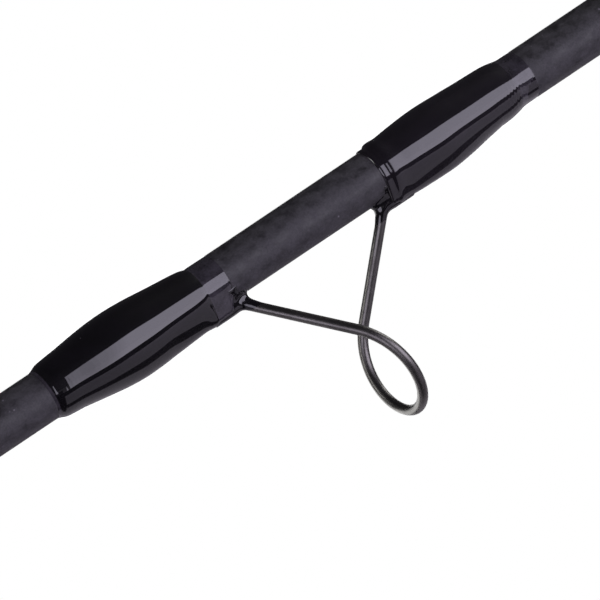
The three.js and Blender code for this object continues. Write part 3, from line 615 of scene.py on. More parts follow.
def surface_of(field, low, step):
    """Points and quads of the surface where a field sampled on a grid is zero."""
    inside = field < 0
    size = [n - 1 for n in field.shape]
    offsets = [(i, j, k) for i in (0, 1) for j in (0, 1) for k in (0, 1)]

    def corner(values, offset):
        return values[tuple(slice(o, o + n) for o, n in zip(offset, size))]

    count = sum(corner(inside, o).astype(int) for o in offsets)
    mixed = (count > 0) & (count < 8)
    index = np.full(mixed.shape, -1)
    index[mixed] = np.arange(mixed.sum())
    total, crossings = np.zeros((mixed.sum(), 3)), np.zeros(mixed.sum())
    for first in offsets:
        for axis in range(3):
            if first[axis]:
                continue
            second = tuple(o + (i == axis) for i, o in enumerate(first))
            fa, fb = corner(field, first)[mixed], corner(field, second)[mixed]
            crosses = (fa < 0) != (fb < 0)
            share = np.where(crosses, fa / np.where(crosses, fa - fb, 1), 0)
            place = np.tile(np.array(first, float), (len(fa), 1))
            place[:, axis] += share
            total += place * crosses[:, None]
            crossings += crosses
    points = (np.argwhere(mixed) + total / crossings[:, None]) * step + low
    quads = []
    for axis in range(3):
        u, v = (axis + 1) % 3, (axis + 2) % 3
        here = [slice(1, -1)] * 3
        here[axis] = slice(0, -1)
        there = list(here)
        there[axis] = slice(1, None)
        for cell in np.argwhere(inside[tuple(here)] != inside[tuple(there)]):
            cell = cell + 1
            cell[axis] -= 1
            loop = []
            for du, dv in ((0, 0), (-1, 0), (-1, -1), (0, -1)):
                at = cell.copy()
                at[u] += du
                at[v] += dv
                loop.append(int(index[tuple(at)]))
            if min(loop) >= 0:
                quads.append(tuple(loop))
    return points, quads


def make_root_varnish(node, centre, side, scale, step):
    """The varnish that clings where a leg leaves its wrap: a fillet between wire and blank."""
    w = wire_size(scale)
    radius = rod_radius(centre)
    root = np.array((centre + side * LEG_ROOT * scale, 0, -(radius + GLUE + w)))
    low = np.array((-1.7, -2.3, -2.6)) * scale + root
    high = np.array((1.7, 2.3, 1.9)) * scale + root
    (low if side < 0 else high)[0] += side * 2.0 * scale
    grid = [np.arange(a, b, step) for a, b in zip(low, high)]
    x, y, z = np.meshgrid(*grid, indexing="ij")
    points = np.stack([x, y, z], -1)

    path = np.array([tuple(p) for p in guide_path(centre, scale)])
    near = path[(np.abs(path[:, 0] - root[0]) < 6 * scale) & (path[:, 2] > root[2] - 5 * scale)]
    near = near[np.argsort(side * near[:, 0])]
    wire = np.full(x.shape, np.inf)
    for p, q in zip(near, near[1:]):
        along = np.clip(((points - p) @ (q - p)) / max((q - p) @ (q - p), 1e-9), 0, 1)
        wire = np.minimum(wire, np.linalg.norm(points - p - along[..., None] * (q - p), axis=-1))
    out = side * (x - root[0]) / scale
    drop = np.clip((root[2] - z) / scale, 0, 9)
    away = np.sqrt((out - 0.3) ** 2 + (y / scale) ** 2 * 0.5 + ((z - root[2]) / scale - 0.3) ** 2)

    # A coat hugs the wire and thins out down the leg, and a film lies on the blank. The two run
    # together in a fillet, which is widest at the root.
    hug = 0.17 * np.exp(-(drop / 0.9) ** 2) + 0.10 * np.clip(out - 0.2, 0, 1) - 0.03
    film = 0.10 * np.clip((out + 0.1) / 0.8, 0, 1) - 0.05
    on_blank = np.hypot(y, z) - radius - film * scale
    on_wire = wire - w - hug * scale
    reach = 1.5 * scale * np.clip(1.25 - (away / 2.3) ** 2, 0.02, 1)
    blend = np.clip(reach - np.abs(on_blank - on_wire), 0, None) / reach
    field = np.minimum(on_blank, on_wire) - blend ** 2 * reach / 4
    # The grid's own sides close the surface.
    for axis in range(3):
        edge = [slice(None)] * 3
        for at in (0, -1):
            edge[axis] = at
            field[tuple(edge)] = 1.0
    # Deep inside the blank there is nothing to see.
    field = np.maximum(field, radius - 0.5 * scale - np.hypot(y, z))
    vertices, quads = surface_of(field, low, step)
    made = piece(vertices, quads, 70)
    made.data.materials.append(WRAP)
    made.name = made.data.name = f"{node}_root"
    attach(made, frame["nodes"][node]["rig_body"])


def make_station(index, centre, scale):
    """A snake guide with its two wraps. The first, full-size one is made finest."""
    name = f"snake_guide_{index}"
    make_guide_wire(name, centre, scale)
    full = scale == 1
    sides, step = (112, 0.1) if full else (40, 0.5)
    for end, side, outline, thread, seed, relief in (("tip", 1, TIP_WRAP, (12.8, 32.2), 3, 0.003),
                                                     ("butt", -1, BUTT_WRAP, (10.2, 28.5), 5, 0.012)):
        make_wrap(f"{name}_{end}_wrap", centre, side, outline, scale, thread, sides, step, 0.012, seed,
                  relief if full else 0)
    for end, side in SIDES:
        make_root_varnish(f"{name}_{end}_wrap", centre, side, scale, 0.07 if full else 0.2 * scale)


for number, (place, size) in enumerate(zip(GUIDE_PLACES, GUIDE_SCALES), 1):
    make_station(number, place, size)

# ------------------------------------------------------------------ more materials


def metal_look(name, color, spread, rough, lathe="X", centre=(0, 0, 0)):
    """Turned metal: fine lathe lines along and round an axis, faint stains and handling marks."""
    look = Look(name, Metallic=1.0)
    dark = tuple(c * (1 - spread) for c in color)
    light = tuple(c * (1 + spread) for c in color)
    stain = look.noise(4, 4)
    look.set("Base Color", look.ramp(stain, (0.3, dark), (0.7, light)))
    at_axis = look.stretched(offset=tuple(-c * MM for c in centre))
    lines = look.math("MULTIPLY", look.bands(0.22, lathe, 0.3), look.bands(0.22, lathe, 0.3, True, at_axis))
    smudge = look.noise(9, 3)
    look.set("Roughness", look.between(smudge, 0.3, 0.7, rough * 0.8, rough * 1.25))
    first = look.bump(lines, 0.006, 0.35, key=None)
    look.bump(look.noise(0.5, 3), 0.004, 0.3, under=first)
    return look.material


def cork_look():
    """Cork rings glued end to end: each its own shade, with pits, dark lenticels and filler."""
    look = Look("cork_rings", Specular_IOR_Level=0.25, Sheen_Weight=0.08)
    along = look.node("SeparateXYZ", {"Vector": look.place}).outputs[0]
    which = look.math("DIVIDE", look.math("SUBTRACT", along, GRIP_START * MM), CORK_RING * MM)
    whole = look.math("FLOOR", which)
    shade = look.node("TexWhiteNoise", {"W": whole}, noise_dimensions="1D").outputs["Value"]
    joint = look.math("PINGPONG", which, 0.5)
    seam = look.between(joint, 0.0, 0.014, 1.0, 0.0)
    grain = look.noise(1.4, 5, rough=0.7)
    fleck = look.noise(5, 3, look.stretched(0.7, 1.3, 1.3))
    tone = look.math("ADD", look.sum((grain, 0.55), (fleck, 0.45)), look.between(shade, 0, 1, -0.09, 0.09))
    base = look.ramp(tone, (0.25, (0.25, 0.125, 0.052)), (0.5, (0.46, 0.27, 0.125)),
                     (0.78, (0.63, 0.42, 0.225)))
    # Lenticels are short dark slots across the ring, and pits are small round holes.
    slots = look.between(look.cells(4.6, look.stretched(0.42)), 0.16, 0.23, 1, 0)
    slots = look.math("MULTIPLY", slots, look.between(look.noise(1.9, 3), 0.45, 0.6))
    holes = look.math("MAXIMUM", slots, look.spots(2.3, 0.1, 0.17, 3, 0.5, 0.6))
    browned = look.mix(look.math("MULTIPLY", holes, 0.85), base, (0.085, 0.034, 0.013))
    look.set("Base Color", look.mix(look.math("MULTIPLY", seam, 0.55), browned, (0.12, 0.055, 0.022)))
    look.set("Roughness", look.between(grain, 0.3, 0.7, 0.62, 0.85))
    first = look.bump(look.math("SUBTRACT", 1.0, look.math("MAXIMUM", holes, seam)), 0.18, 0.8, key=None)
    look.bump(grain, 0.05, 0.5, under=first)
    return look.material


def wood_look():
    """Varnished burl wood."""
    look = Look("varnished_burl", Coat_Weight=1.0, Coat_Roughness=0.06)
    swirl = look.noise(11, 5, look.stretched(0.6), 0.62)
    shift = look.node("CombineXYZ", {axis: look.between(swirl, 0, 1, -far * MM, far * MM)
                                     for axis, far in (("X", 6), ("Y", 4), ("Z", -4))}).outputs[0]
    bent = look.node("VectorMath", {0: look.place, 1: shift}, operation="ADD").outputs[0]
    figure = look.noise(2.6, 6, bent, 0.7)
    eyes = look.between(look.cells(7, bent), 0.05, 0.22, 1, 0)
    tone = look.math("SUBTRACT", figure, look.math("MULTIPLY", eyes, 0.16))
    look.set("Base Color", look.ramp(tone, (0.28, (0.03, 0.010, 0.004)), (0.47, (0.13, 0.047, 0.016)),
                                     (0.6, (0.25, 0.105, 0.036)), (0.75, (0.36, 0.17, 0.065))))
    look.set("Roughness", look.between(figure, 0.3, 0.7, 0.35, 0.5))
    look.bump(figure, 0.01, 0.25)
    return look.material


def ceramic_look():
    look = Look("black_ceramic", IOR=1.8)
    stain = look.noise(2, 3)
    look.set("Base Color", look.ramp(stain, (0.3, (0.010, 0.010, 0.012)), (0.7, (0.02, 0.02, 0.023))))
    look.set("Roughness", look.between(look.noise(1.1, 2), 0.3, 0.7, 0.08, 0.16))
    look.bump(look.noise(0.9, 2), 0.002, 0.3)
    return look.material


def drag_cork_look():
    look = Look("greased_cork", Roughness=0.7)
    grain = look.noise(0.7, 5, rough=0.7)
    look.set("Base Color", look.ramp(grain, (0.3, (0.05, 0.03, 0.016)), (0.7, (0.2, 0.125, 0.065))))
    look.bump(grain, 0.08, 0.7)
    return look.material


REEL_CENTRE = (REEL_X, 0, REEL_Z)
BLACK_SEAT = metal_look("black_anodised_seat", (0.034, 0.033, 0.037), 0.12, 0.3)
BLACK_REEL = metal_look("black_anodised_reel", (0.034, 0.033, 0.037), 0.12, 0.3, "Y", REEL_CENTRE)
STEEL = metal_look("satin_steel", (0.56, 0.56, 0.57), 0.12, 0.28)
STEEL_REEL = metal_look("satin_steel_reel", (0.56, 0.56, 0.57), 0.12, 0.26, "Y", REEL_CENTRE)
BRONZE = metal_look("bronze", (0.55, 0.34, 0.14), 0.15, 0.3, "Y", REEL_CENTRE)
CORK, WOOD, CERAMIC, DRAG_CORK = cork_look(), wood_look(), ceramic_look(), drag_cork_look()

# ------------------------------------------------------------------ cutting and joining


OFF_LINE, TOOL_OFF_LINE = 0.0071, 0.0137    # turns that keep a body's corners clear of its tools'


def weld(made):
    """Merge corners closer than a few thousandths of a millimetre, and close what stays open."""
    work = bmesh.new()
    work.from_mesh(made.data)
    bmesh.ops.remove_doubles(work, verts=work.verts, dist=0.003 * MM)
    bmesh.ops.dissolve_degenerate(work, edges=work.edges, dist=0.003 * MM)
    bmesh.ops.holes_fill(work, edges=[edge for edge in work.edges if edge.is_boundary], sides=0)
    work.to_mesh(made.data)
    work.free()


def remove(*used):
    for one in used:
        mesh = one.data
        bpy.data.objects.remove(one)
        bpy.data.meshes.remove(mesh)


def carve(made, tools, edge=0.25, keep="DIFFERENCE"):
    """made less its tools, which are used up, with its edges rounded by edge mm."""
    for tool in tools:
        cut = made.modifiers.new("cut", "BOOLEAN")
        cut.operation, cut.solver, cut.object = keep, "EXACT", tool
    weld(baked(made))
    remove(*tools)
    if edge:
        round_off = made.modifiers.new("edges", "BEVEL")
        round_off.width, round_off.segments = edge * MM, 2
        round_off.limit_method, round_off.angle_limit = "ANGLE", math.radians(32)
        baked(made)
    return smoothed(made)


def smoothed(made):
    made.data.shade_smooth()
    made.data.set_sharp_from_angle(angle=math.radians(40))
    return made


def joined(first, *others):
    """Several closed bodies as one object."""
    work = bmesh.new()
    for part in (first, *others):
        work.from_mesh(part.data)
    work.to_mesh(first.data)
    work.free()
    remove(*others)
    return smoothed(first)


def slab(outline, axis, low, high, middle=(0, 0, 0)):
    """A prism: an outline of (u, v) pushed along an axis. For y the outline is in x and z."""
    order = {"y": (0, 2, 1), "z": (0, 1, 2)}[axis]
    rows = np.array([[(u, v, level) for u, v in outline] for level in (low, high)], float)
    return skin(rows[..., order] + np.asarray(middle, float))


def box_outline(u0, u1, v0, v1, corner=0.0):
    """A rectangle, with round corners if a corner radius is given."""
    if not corner:
        return [(u0, v0), (u1, v0), (u1, v1), (u0, v1)]
    out = []
    for start, (u, v) in enumerate(((u1 - corner, v1 - corner), (u0 + corner, v1 - corner),
                                    (u0 + corner, v0 + corner), (u1 - corner, v0 + corner))):
        for k in range(6):
            a = (start + k / 5) * TURN / 4
            out.append((u + corner * math.cos(a), v + corner * math.sin(a)))
    return out


def plug(axis, low, high, radius, middle=(0, 0, 0), sides=32):
    """A plain round cutter."""
    return turned(axis, [(low, radius), (high, radius)], sides, middle, turn=TOOL_OFF_LINE)


def around(count, circle, turn=0.5):
    """Offsets in x and z of so many places round the reel's axis."""
    angles = [(i + turn) / count * TURN for i in range(count)]
    return [(circle * math.cos(a), 0, circle * math.sin(a)) for a in angles]


def at_reel(offset=(0, 0, 0)):
    return tuple(a + b for a, b in zip(REEL_CENTRE, offset))


# ------------------------------------------------------------------ reel seat and grip


def make_cap():
    """The butt cap: closed, with a shallow dish in its end face and one groove round it."""
    lathed("butt_cap", BLACK_SEAT, [
        (0.6, 0), (0.6, 8.2), (0, 8.9), (0, CAP_RADIUS - 1.2), (1.4, CAP_RADIUS), (3.2, CAP_RADIUS),
        (3.4, CAP_RADIUS - 0.3), (4.0, CAP_RADIUS - 0.3), (4.2, CAP_RADIUS), (CAP_LENGTH - 1, CAP_RADIUS),
        (CAP_LENGTH, CAP_RADIUS - 1), (CAP_LENGTH, rod_radius(CAP_LENGTH) + GLUE),
        (BUTT_START - 0.3, rod_radius(BUTT_START) + GLUE), (BUTT_START - 0.3, 0),
    ], 0.35, 4, loop=False)


def make_barrel():
    """The threaded barrel: a rounded thread of 2 mm pitch between two plain collars."""
    pitch, depth, sides = 2.0, 0.42, 96
    inner = rod_radius(BARREL_START) + GLUE
    angle = np.arange(sides) / sides * TURN
    rows = [ring("x", BARREL_START, inner, sides)]
    for x in np.arange(BARREL_START, BARREL_END + 0.01, 0.139):
        phase = np.mod(x / pitch - angle / TURN, 1)
        groove = np.clip(1.6 * np.abs(phase - 0.5) * 2 - 0.5, 0, 1)
        fade = min(1, max(0, (x - BARREL_START - 1.2) / 1.5), max(0, (BARREL_END - 1.5 - x) / 1.5))
        chamfer = max(0, 0.4 - min(x - BARREL_START, BARREL_END - x))
        radius = BARREL_RADIUS - depth * fade * (1 - groove) - chamfer
        rows.append(ring("x", x, 1.0, sides) * np.stack([np.ones(sides), radius, radius], 1))
    rows.append(ring("x", BARREL_END, inner, sides))
    show("seat_barrel", skin(rows, loop=True, sharp=50), BLACK_SEAT)


def make_lock_ring():
    """Knurled: rounded ribs along it, parted by two plain grooves."""
    start, end, radius = LOCK_RING
    teeth, per, rib_depth, groove, inner = 40, 8, 0.45, 0.6, BARREL_RADIUS + 0.35
    sides = teeth * per
    rib = 0.5 - 0.5 * np.cos(np.arange(sides) / per * TURN)
    half = [(start, inner), (start, radius - 0.9), (start + 0.9, radius), (start + 2.2, radius),
            (start + 2.4, radius - groove), (start + 2.9, radius - groove), (start + 3.1, radius)]
    rows = []
    for x, r in rounded(half + [(start + end - x, r) for x, r in half[::-1]], 0.15, 2):
        deep = rib_depth * max(0, min(1, (r - radius + 0.5) / 0.4))
        row = ring("x", x, 1.0, sides)
        row[:, 1:] *= (r - deep * rib)[:, None]
        rows.append(row)
    show("lock_ring", skin(rows, loop=True, sharp=50), BLACK_SEAT)


def make_hood(node, start, end, pocket, seat_radius, band):
    """An off-centre round shell with a pocket for one end of the reel's foot, and a band groove."""
    sides, middle, chamfer, half, deep = 128, (0, 0, -HOOD_DROP), 0.5, 0.35, 0.35
    pocket_radius, pocket_drop, proud = 9.4, 3, 1
    shell = turned("x", rounded([
        (start, 0), (start, HOOD_RADIUS - chamfer), (start + chamfer, HOOD_RADIUS),
        (end - chamfer, HOOD_RADIUS), (end, HOOD_RADIUS - chamfer), (end, 0),
    ], 0.25, 3), sides, middle, turn=OFF_LINE)
    groove = turned("x", box_outline(band - half, band + half, HOOD_RADIUS - deep, HOOD_RADIUS + 2),
                    sides, middle, loop=True)
    show(node, carve(shell, [
        groove, plug("x", start - proud, end + proud, seat_radius, sides=sides),
        plug("x", *pocket, pocket_radius, (0, 0, -pocket_drop), sides),
    ], 0.18), BLACK_SEAT)


def make_insert():
    """The wooden part of the reel seat."""
    inner = rod_radius(INSERT_START) + GLUE
    lathed("seat_insert", WOOD, box_outline(INSERT_START, INSERT_END, inner, INSERT_RADIUS), 0.3, sides=128)


GRIP_PROFILE = ((0, 11.6), (0.012, 12), (0.12, 12.9), (0.28, 13.35), (0.45, 13.25), (0.62, 12.5),
                (0.77, 11.1), (0.88, 9.6), (0.96, 8.2), (1, 7.6))


def make_grip():
    """The cork grip. Its rings stand a hair proud of each other, and pits are really sunk."""
    length = GRIP_END - GRIP_START
    outline = smooth_path([(share * length, r) for share, r in GRIP_PROFILE], 0.6)
    sides = 120
    chance = np.random.default_rng(11)
    steps = chance.uniform(-0.05, 0.03, 16)
    inner = rod_radius(GRIP_START) + GLUE
    rows = [ring("x", GRIP_START, inner, sides)]
    for along, r in outline:
        which = along / CORK_RING
        seam = max(0, 1 - abs(which - round(which)) * CORK_RING / 0.35)
        row = ring("x", GRIP_START + along, 1.0, sides)
        row[:, 1:] *= r + steps[int(which)] - 0.07 * seam - 0.03
        rows.append(row)
    rows.append(ring("x", GRIP_END, rod_radius(GRIP_END) + GLUE, sides))
    rows = np.array(rows)
    pits = 260
    px, pa = chance.uniform(1, length - 1, pits), chance.uniform(0, TURN, pits)
    wide, deep = chance.uniform(0.5, 1.3, pits), chance.uniform(0.08, 0.3, pits)
    body = rows[1:-1]
    x, a = body[..., 0] - GRIP_START, np.arctan2(body[..., 2], body[..., 1])
    radius = np.hypot(body[..., 1], body[..., 2])
    sink = np.zeros_like(x)
    for i in range(pits):
        turn = np.abs(np.mod(a - pa[i] + math.pi, TURN) - math.pi) * radius
        share = ((x - px[i]) / (0.55 * wide[i])) ** 2 + (turn / wide[i]) ** 2
        sink = np.maximum(sink, deep[i] * np.exp(-share * 1.4))
    body[..., 1:] *= (1 - sink / radius)[..., None]
    show("cork_grip", skin(rows, loop=True, sharp=55), CORK)


def make_check():
    """The stepped metal ring that ends the grip."""
    lathed("winding_check", BLACK_SEAT, [
        (CHECK_START, rod_radius(CHECK_START) + GLUE), (CHECK_START, 7.5), (CHECK_START + 1.3, 7.4),
        (CHECK_START + 1.5, 6.9), (CHECK_START + 1.9, 6.9), (CHECK_START + 2.1, 7.1),
        (CHECK_START + 3.5, 5.8), (CHECK_END, 5), (CHECK_END, rod_radius(CHECK_END) + GLUE),
    ])


make_cap()
make_barrel()
make_lock_ring()
make_hood("sliding_hood", *SLIDING_HOOD, (SLIDING_HOOD[1] - HOOD_POCKET, SLIDING_HOOD[1] + 1),
          BARREL_RADIUS + HOOD_GAP, SLIDING_HOOD[0] + HOOD_BAND)
make_hood("fixed_hood", *FIXED_HOOD, (FIXED_HOOD[0] - 1, FIXED_HOOD[0] + HOOD_POCKET),
          INSERT_RADIUS + HOOD_GAP, FIXED_HOOD[1] - HOOD_BAND)
make_insert()
make_grip()
make_check()

# ------------------------------------------------------------------ keeper, other guides, ferrule

# Share of the length, thickness above the blank, thickness over the foot.
PLAIN_WRAP = ((0, 0.14, 1.25), (0.04, 0.36, 1.32), (0.1, 0.45, 1.32), (0.35, 0.8, 1.42),
              (0.55, 1.02, 1.5), (0.72, 0.88, 1.14), (0.87, 0.55, 0.58), (0.95, 0.36, 0.34),
              (0.985, 0.17, 0.16), (1, 0.04, 0.04))
KEEPER_WRAP = ((2.7, 0.04, 0.9), (2.8, 0.3, 1.02), (3.6, 0.46, 1.12), (6, 0.5, 1.12), (9.2, 0.44, 1.0),
               (10.4, 0.26, 0.4), (10.9, 0.1, 0.12), (11, 0.02, 0.02))


def make_keeper():
    """A strap bent to a U, its feet under two wraps, and the free ring that hangs in it."""
    arch, foot, eye_wire, corner_bend = 1.15, 9, 0.45, 0.7
    pivot = -(rod_radius(KEEPER_X) + KEEPER_HANG)
    foot_z = -(rod_radius(KEEPER_X - foot) + GLUE + KEEPER_WIRE)

    def half(side):
        corner = Vector((KEEPER_X + side * arch, 0, foot_z))
        toe = Vector((KEEPER_X + side * foot, 0, foot_z))
        return [toe] + bend(toe, corner, Vector((KEEPER_X + side * arch, 0, pivot)), corner_bend, 6)

    turns = [Vector((KEEPER_X + arch * math.cos(a), 0, pivot - arch * math.sin(a)))
             for a in np.linspace(0, math.pi, 20)]
    show("hook_keeper_strap", sweep(half(1) + turns + half(-1)[::-1], KEEPER_WIRE, 16), STEEL)
    round_wire = [(eye_wire * math.cos(a), KEEPER_RING + eye_wire * math.sin(a))
                  for a in np.arange(20) / 20 * TURN]
    eye = turned("x", round_wire, 72, (KEEPER_X, 0, pivot - KEEPER_RING), loop=True, sharp=50)
    show("hook_keeper_ring", eye, STEEL)
    for end, side in SIDES:
        make_wrap(f"hook_keeper_{end}_wrap", KEEPER_X, side, KEEPER_WRAP, thread=(2, 11), step=0.2,
                  ripple=0.008, seed=side + 9)


def make_stripper():
    """The stripping guide: a hoop on four legs that holds a ceramic ring."""
    hoop, band, half_width, wire, drop = 7.8, 0.85, 1.3, 0.7, 15.5
    grip, span, toe, leg_bend, sunk = 0.95, 13, 24, 3, 0.3
    middle = -(rod_radius(STRIPPER_X) + drop)
    foot_z = -(rod_radius(STRIPPER_X - toe) + GLUE + wire)
    place = (STRIPPER_X, 0, middle)
    edge = box_outline(-half_width, half_width, hoop - band, hoop)
    parts = [turned("x", rounded(edge, 0.3, 4, True), 96, place, loop=True)]
    for side in (1, -1):
        corner = Vector((STRIPPER_X + side * span, 0, foot_z))
        end = Vector((STRIPPER_X + side * toe, 0, foot_z))
        for hand in (1, -1):
            reach = hoop - sunk
            top = Vector((STRIPPER_X + side * 0.6, hand * reach * math.sin(grip),
                          middle + reach * math.cos(grip)))
            path = [end.lerp(corner, 0.3)] + bend(end, corner, top, leg_bend, 10) + [top]
            parts.append(sweep(path, wire, 18))
        # The two legs of a side lie together in one foot, which thins towards its toe.
        foot = [end, end.lerp(corner, 0.5), corner]
        parts.append(sweep(foot, lambda t: wire * (0.55 + 0.45 * t), 18))
    show("stripping_guide_frame", joined(*parts), WIRE)
    lathed("stripping_guide_ring", CERAMIC, [
        (-1.6, 5.9), (-1, 5.2), (0, 4.95), (1, 5.2), (1.6, 5.9), (1, hoop - 0.95), (-1, hoop - 0.95),
    ], 0.6, 5, middle=place)
    rows = [(span + 1.5 + share * (toe - span + 2), up, low) for share, up, low in PLAIN_WRAP]
    for end, side in SIDES:
        make_wrap(f"stripping_guide_{end}_wrap", STRIPPER_X, side, rows, seed=side + 20)


def make_plain_wrap(node, start, end, thickness, seed):
    """A wrap with nothing under it."""
    length = end - start
    rows = [(0, 0.02), (0.25, 0.55), (0.9, 0.9), (2.2, 1.0), (length - 2.2, 1.0), (length - 0.9, 0.88),
            (length - 0.25, 0.5), (length, 0.02)]
    rows = [(along, t * thickness, t * thickness) for along, t in rows]
    make_wrap(node, start, 1, rows, sides=48, step=0.3, ripple=0.006, seed=seed)


def make_tip_top():
    """A tube over the rod's end, with a wire loop soldered on that leans towards the tip."""
    start, end, radius, wire, loop, lean = 1806, 1822, 1.55, 0.5, 3.7, 9
    lathed("tip_top_tube", STEEL, box_outline(start, end, rod_radius(start) + GLUE, radius), 0.15, sides=64)
    leg_y = radius + GLUE + wire
    spread = math.asin((leg_y - 0.2) / loop)
    middle = -loop * math.cos(spread) - 0.1
    legs = [[(start + 1.5, hand * leg_y, 0), (end - 4, hand * leg_y, 0)] for hand in (1, -1)]
    hoop = [(end + lean * (0.62 + 0.38 * math.cos(a)), loop * math.sin(a), middle - loop * math.cos(a))
            for a in np.linspace(math.pi - spread, spread - math.pi, 33)]
    path = smooth_path(legs[0] + hoop + legs[1][::-1], 0.5)
    show("tip_top_loop", sweep(path, wire, 18), STEEL)


make_keeper()
make_stripper()
for node, start, end, thickness, seed in (("ferrule_mouth_wrap", 888.4, 905, 0.5, 31),
                                          ("ferrule_band_wrap", 937, 948, 0.4, 32),
                                          ("tip_top_wrap", 1795, 1805.7, 0.45, 33)):
    make_plain_wrap(node, start, end, thickness, seed)
make_tip_top()

# ------------------------------------------------------------------ reel

CAGE, CAGE_WALL, FRONT, BACK, PLATE = 36.5, 2.2, -12, 14, 2.5
FLANGE, DRUM, HUB, SPINDLE = 33.6, 16, 7.2, 3
FRONT_FLANGE, REAR_FLANGE = (-12.3, -10.5), (5.6, 7.2)
FOOT_BASE, FOOT_SCREWS = 38.5, (-6, 6)
ROUND = 144


def reel_part(node, look, profile, edge=0.3, steps=3, sides=64, middle=REEL_CENTRE, loop=True):
    """A node turned round the reel's axis or a parallel one."""
    lathed(node, look, profile, edge, steps, sides, "y", middle, loop)


def make_windows(bars, thick, pad_half):
    """Cutters for the openings between the cage's bars, which stand at those angles."""
    windows = []
    last = len(bars) - 2
    for i, (here, after) in enumerate(zip(bars, bars[1:])):
        start, end = after + (pad_half if i == last else thick), here - (pad_half if i == 0 else thick)
        outline = box_outline(start * CAGE, end * CAGE, FRONT + 2.8, BACK - 5.2, 2.4)
        fine = []
        for (u0, v0), (u1, v1) in zip(outline, outline[1:] + outline[:1]):
            n = max(1, int(abs(u1 - u0) / 1.5))
            fine += [(u0 + (u1 - u0) * k / n, v0 + (v1 - v0) * k / n) for k in range(n)]
        # The cutter's outer face is a flat chord, so it starts well outside the cage.
        rows = [[(r * math.cos(u / CAGE), v, r * math.sin(u / CAGE)) for u, v in fine]
                for r in (CAGE - 8, CAGE + 14)]
        windows.append(skin(np.array(rows) + np.array(REEL_CENTRE)))
    return windows


def make_frame():
    """The reel's frame: a caged ring with a ported back, and the pad that the foot is screwed to."""
    inside, bore, inner_face = CAGE - CAGE_WALL, SPINDLE + 0.12, BACK - PLATE
    shell = turned("y", rounded([
        (FRONT, inside), (FRONT, CAGE), (BACK, CAGE), (BACK, bore), (inner_face, bore),
        (inner_face, inside),
    ], 0.5, 4, True), ROUND, REEL_CENTRE, loop=True, turn=OFF_LINE)
    pad = slab(box_outline(-13, 13, -6, 6, 2), "z", inside + 0.6, FOOT_BASE, REEL_CENTRE)
    carve(shell, [pad], 0, "UNION")
    top = math.pi / 2
    tools = make_windows([top, 0.1, -0.95, -2.2, math.pi - 0.1 - TURN, top - TURN], 0.13, 0.4)
    tools += [plug("z", inside + 1.2, FOOT_BASE + 1, 1.6, at_reel((x, 0, 0)), 24) for x in FOOT_SCREWS]
    tools += [plug("y", inner_face - 1, BACK + 1, 4.2, at_reel(place), 40) for place in around(8, 24)]
    tools += [plug("y", BACK - 0.5, BACK + 1, 1.1, at_reel(place), 24) for place in around(8, 16.5, 0)]
    show("reel_frame", carve(shell, [joined(*tools)], 0.3), BLACK_REEL)


def make_spool():
    """The spool: a drum between two ported flanges, the front one with two shallow grooves."""
    a, b = FRONT_FLANGE
    c, d = REAR_FLANGE
    wall, groove = 2, 0.25
    body = turned("y", rounded([
        (a, 5.1), (a, HUB), (a + groove, HUB + 0.4), (a + groove, 17.6), (a, 18), (a, 19.2),
        (a + groove, 19.6), (a + groove, 29.6), (a, 30), (a, FLANGE), (b, FLANGE), (b, DRUM), (c, DRUM),
        (c, FLANGE), (d, FLANGE), (d, DRUM - wall), (b - 0.2, DRUM - wall), (b - 0.2, HUB), (d, HUB),
        (d, 5.1),
    ], 0.35, 3, True), ROUND, REEL_CENTRE, loop=True, turn=OFF_LINE)
    tools = [plug("y", low - 1, high + 1, 4, at_reel(place), 40)
             for low, high in (FRONT_FLANGE, REAR_FLANGE) for place in around(9, 24.5)]
    tools += [plug("y", a - 1, b + 1, 1.5, at_reel(place), 24) for place in around(9, 27, 0)]
    show("spool", carve(body, [joined(*tools)], 0.22), BLACK_REEL)
    reel_part("spool_bush", BRONZE, box_outline(a, d, SPINDLE + 0.14, 5), 0.15, 2)


def make_drag():
    """The spindle with its drag: a cork disc and a plate, pressed by a spring that the knob loads."""
    shoulder, low, high, top = 5.4, 9.9, 11.2, 20.2
    reel_part("spindle", STEEL_REEL, [
        (-12.2, 0), (-12.2, SPINDLE), (low, SPINDLE), (low, shoulder), (high, shoulder), (high, SPINDLE),
        (top - 0.4, SPINDLE), (top, SPINDLE - 0.4), (top, 0),
    ], 0.2, loop=False)
    for node, look, inner, ends in (("drag_disc", DRAG_CORK, 5.8, (9.7, 11.2)),
                                    ("pressure_plate", STEEL_REEL, SPINDLE + 0.4, (7.6, 9.3))):
        reel_part(node, look, box_outline(*ends, inner, 12.6), 0.2, sides=96)
    turns, coil_radius, base, rise = 3, 6.6, 15.1, 4.3
    coil = [(coil_radius * math.cos(t * TURN) + REEL_X, base + rise * t / turns,
             coil_radius * math.sin(t * TURN) + REEL_Z) for t in np.linspace(0, turns, 145)]
    show("drag_spring", sweep(coil, 0.55, 14), STEEL_REEL)

    lobes, per, deepest = 12, 14, 1.5
    sides = lobes * per
    dip = np.clip(1.35 * np.cos(np.arange(sides) / per * TURN) - 0.35, 0, 1)
    rows = []
    for along, r in rounded([
        (21.1, 0), (21.1, 3.4), (16.4, 3.4), (16.4, 4.7), (20.3, 4.7), (20.3, 8.6), (14.5, 8.6),
        (14.5, 13.2), (15.5, 14), (21, 14), (22.4, 12.6), (22.8, 10.5), (22.8, 8.4), (22.4, 7.8), (22.4, 0),
    ], 0.3, 3):
        row = ring("y", along, 1.0, sides)
        deep = deepest * max(0, min(1, (r - 10.5) / 2.5)) if along > 14.4 else 0
        row[:, (0, 2)] *= (max(r, 0.004) - deep * dip)[:, None]
        rows.append(row + (REEL_X, 0, REEL_Z))
    show("drag_knob", skin(rows, sharp=45), BLACK_REEL)


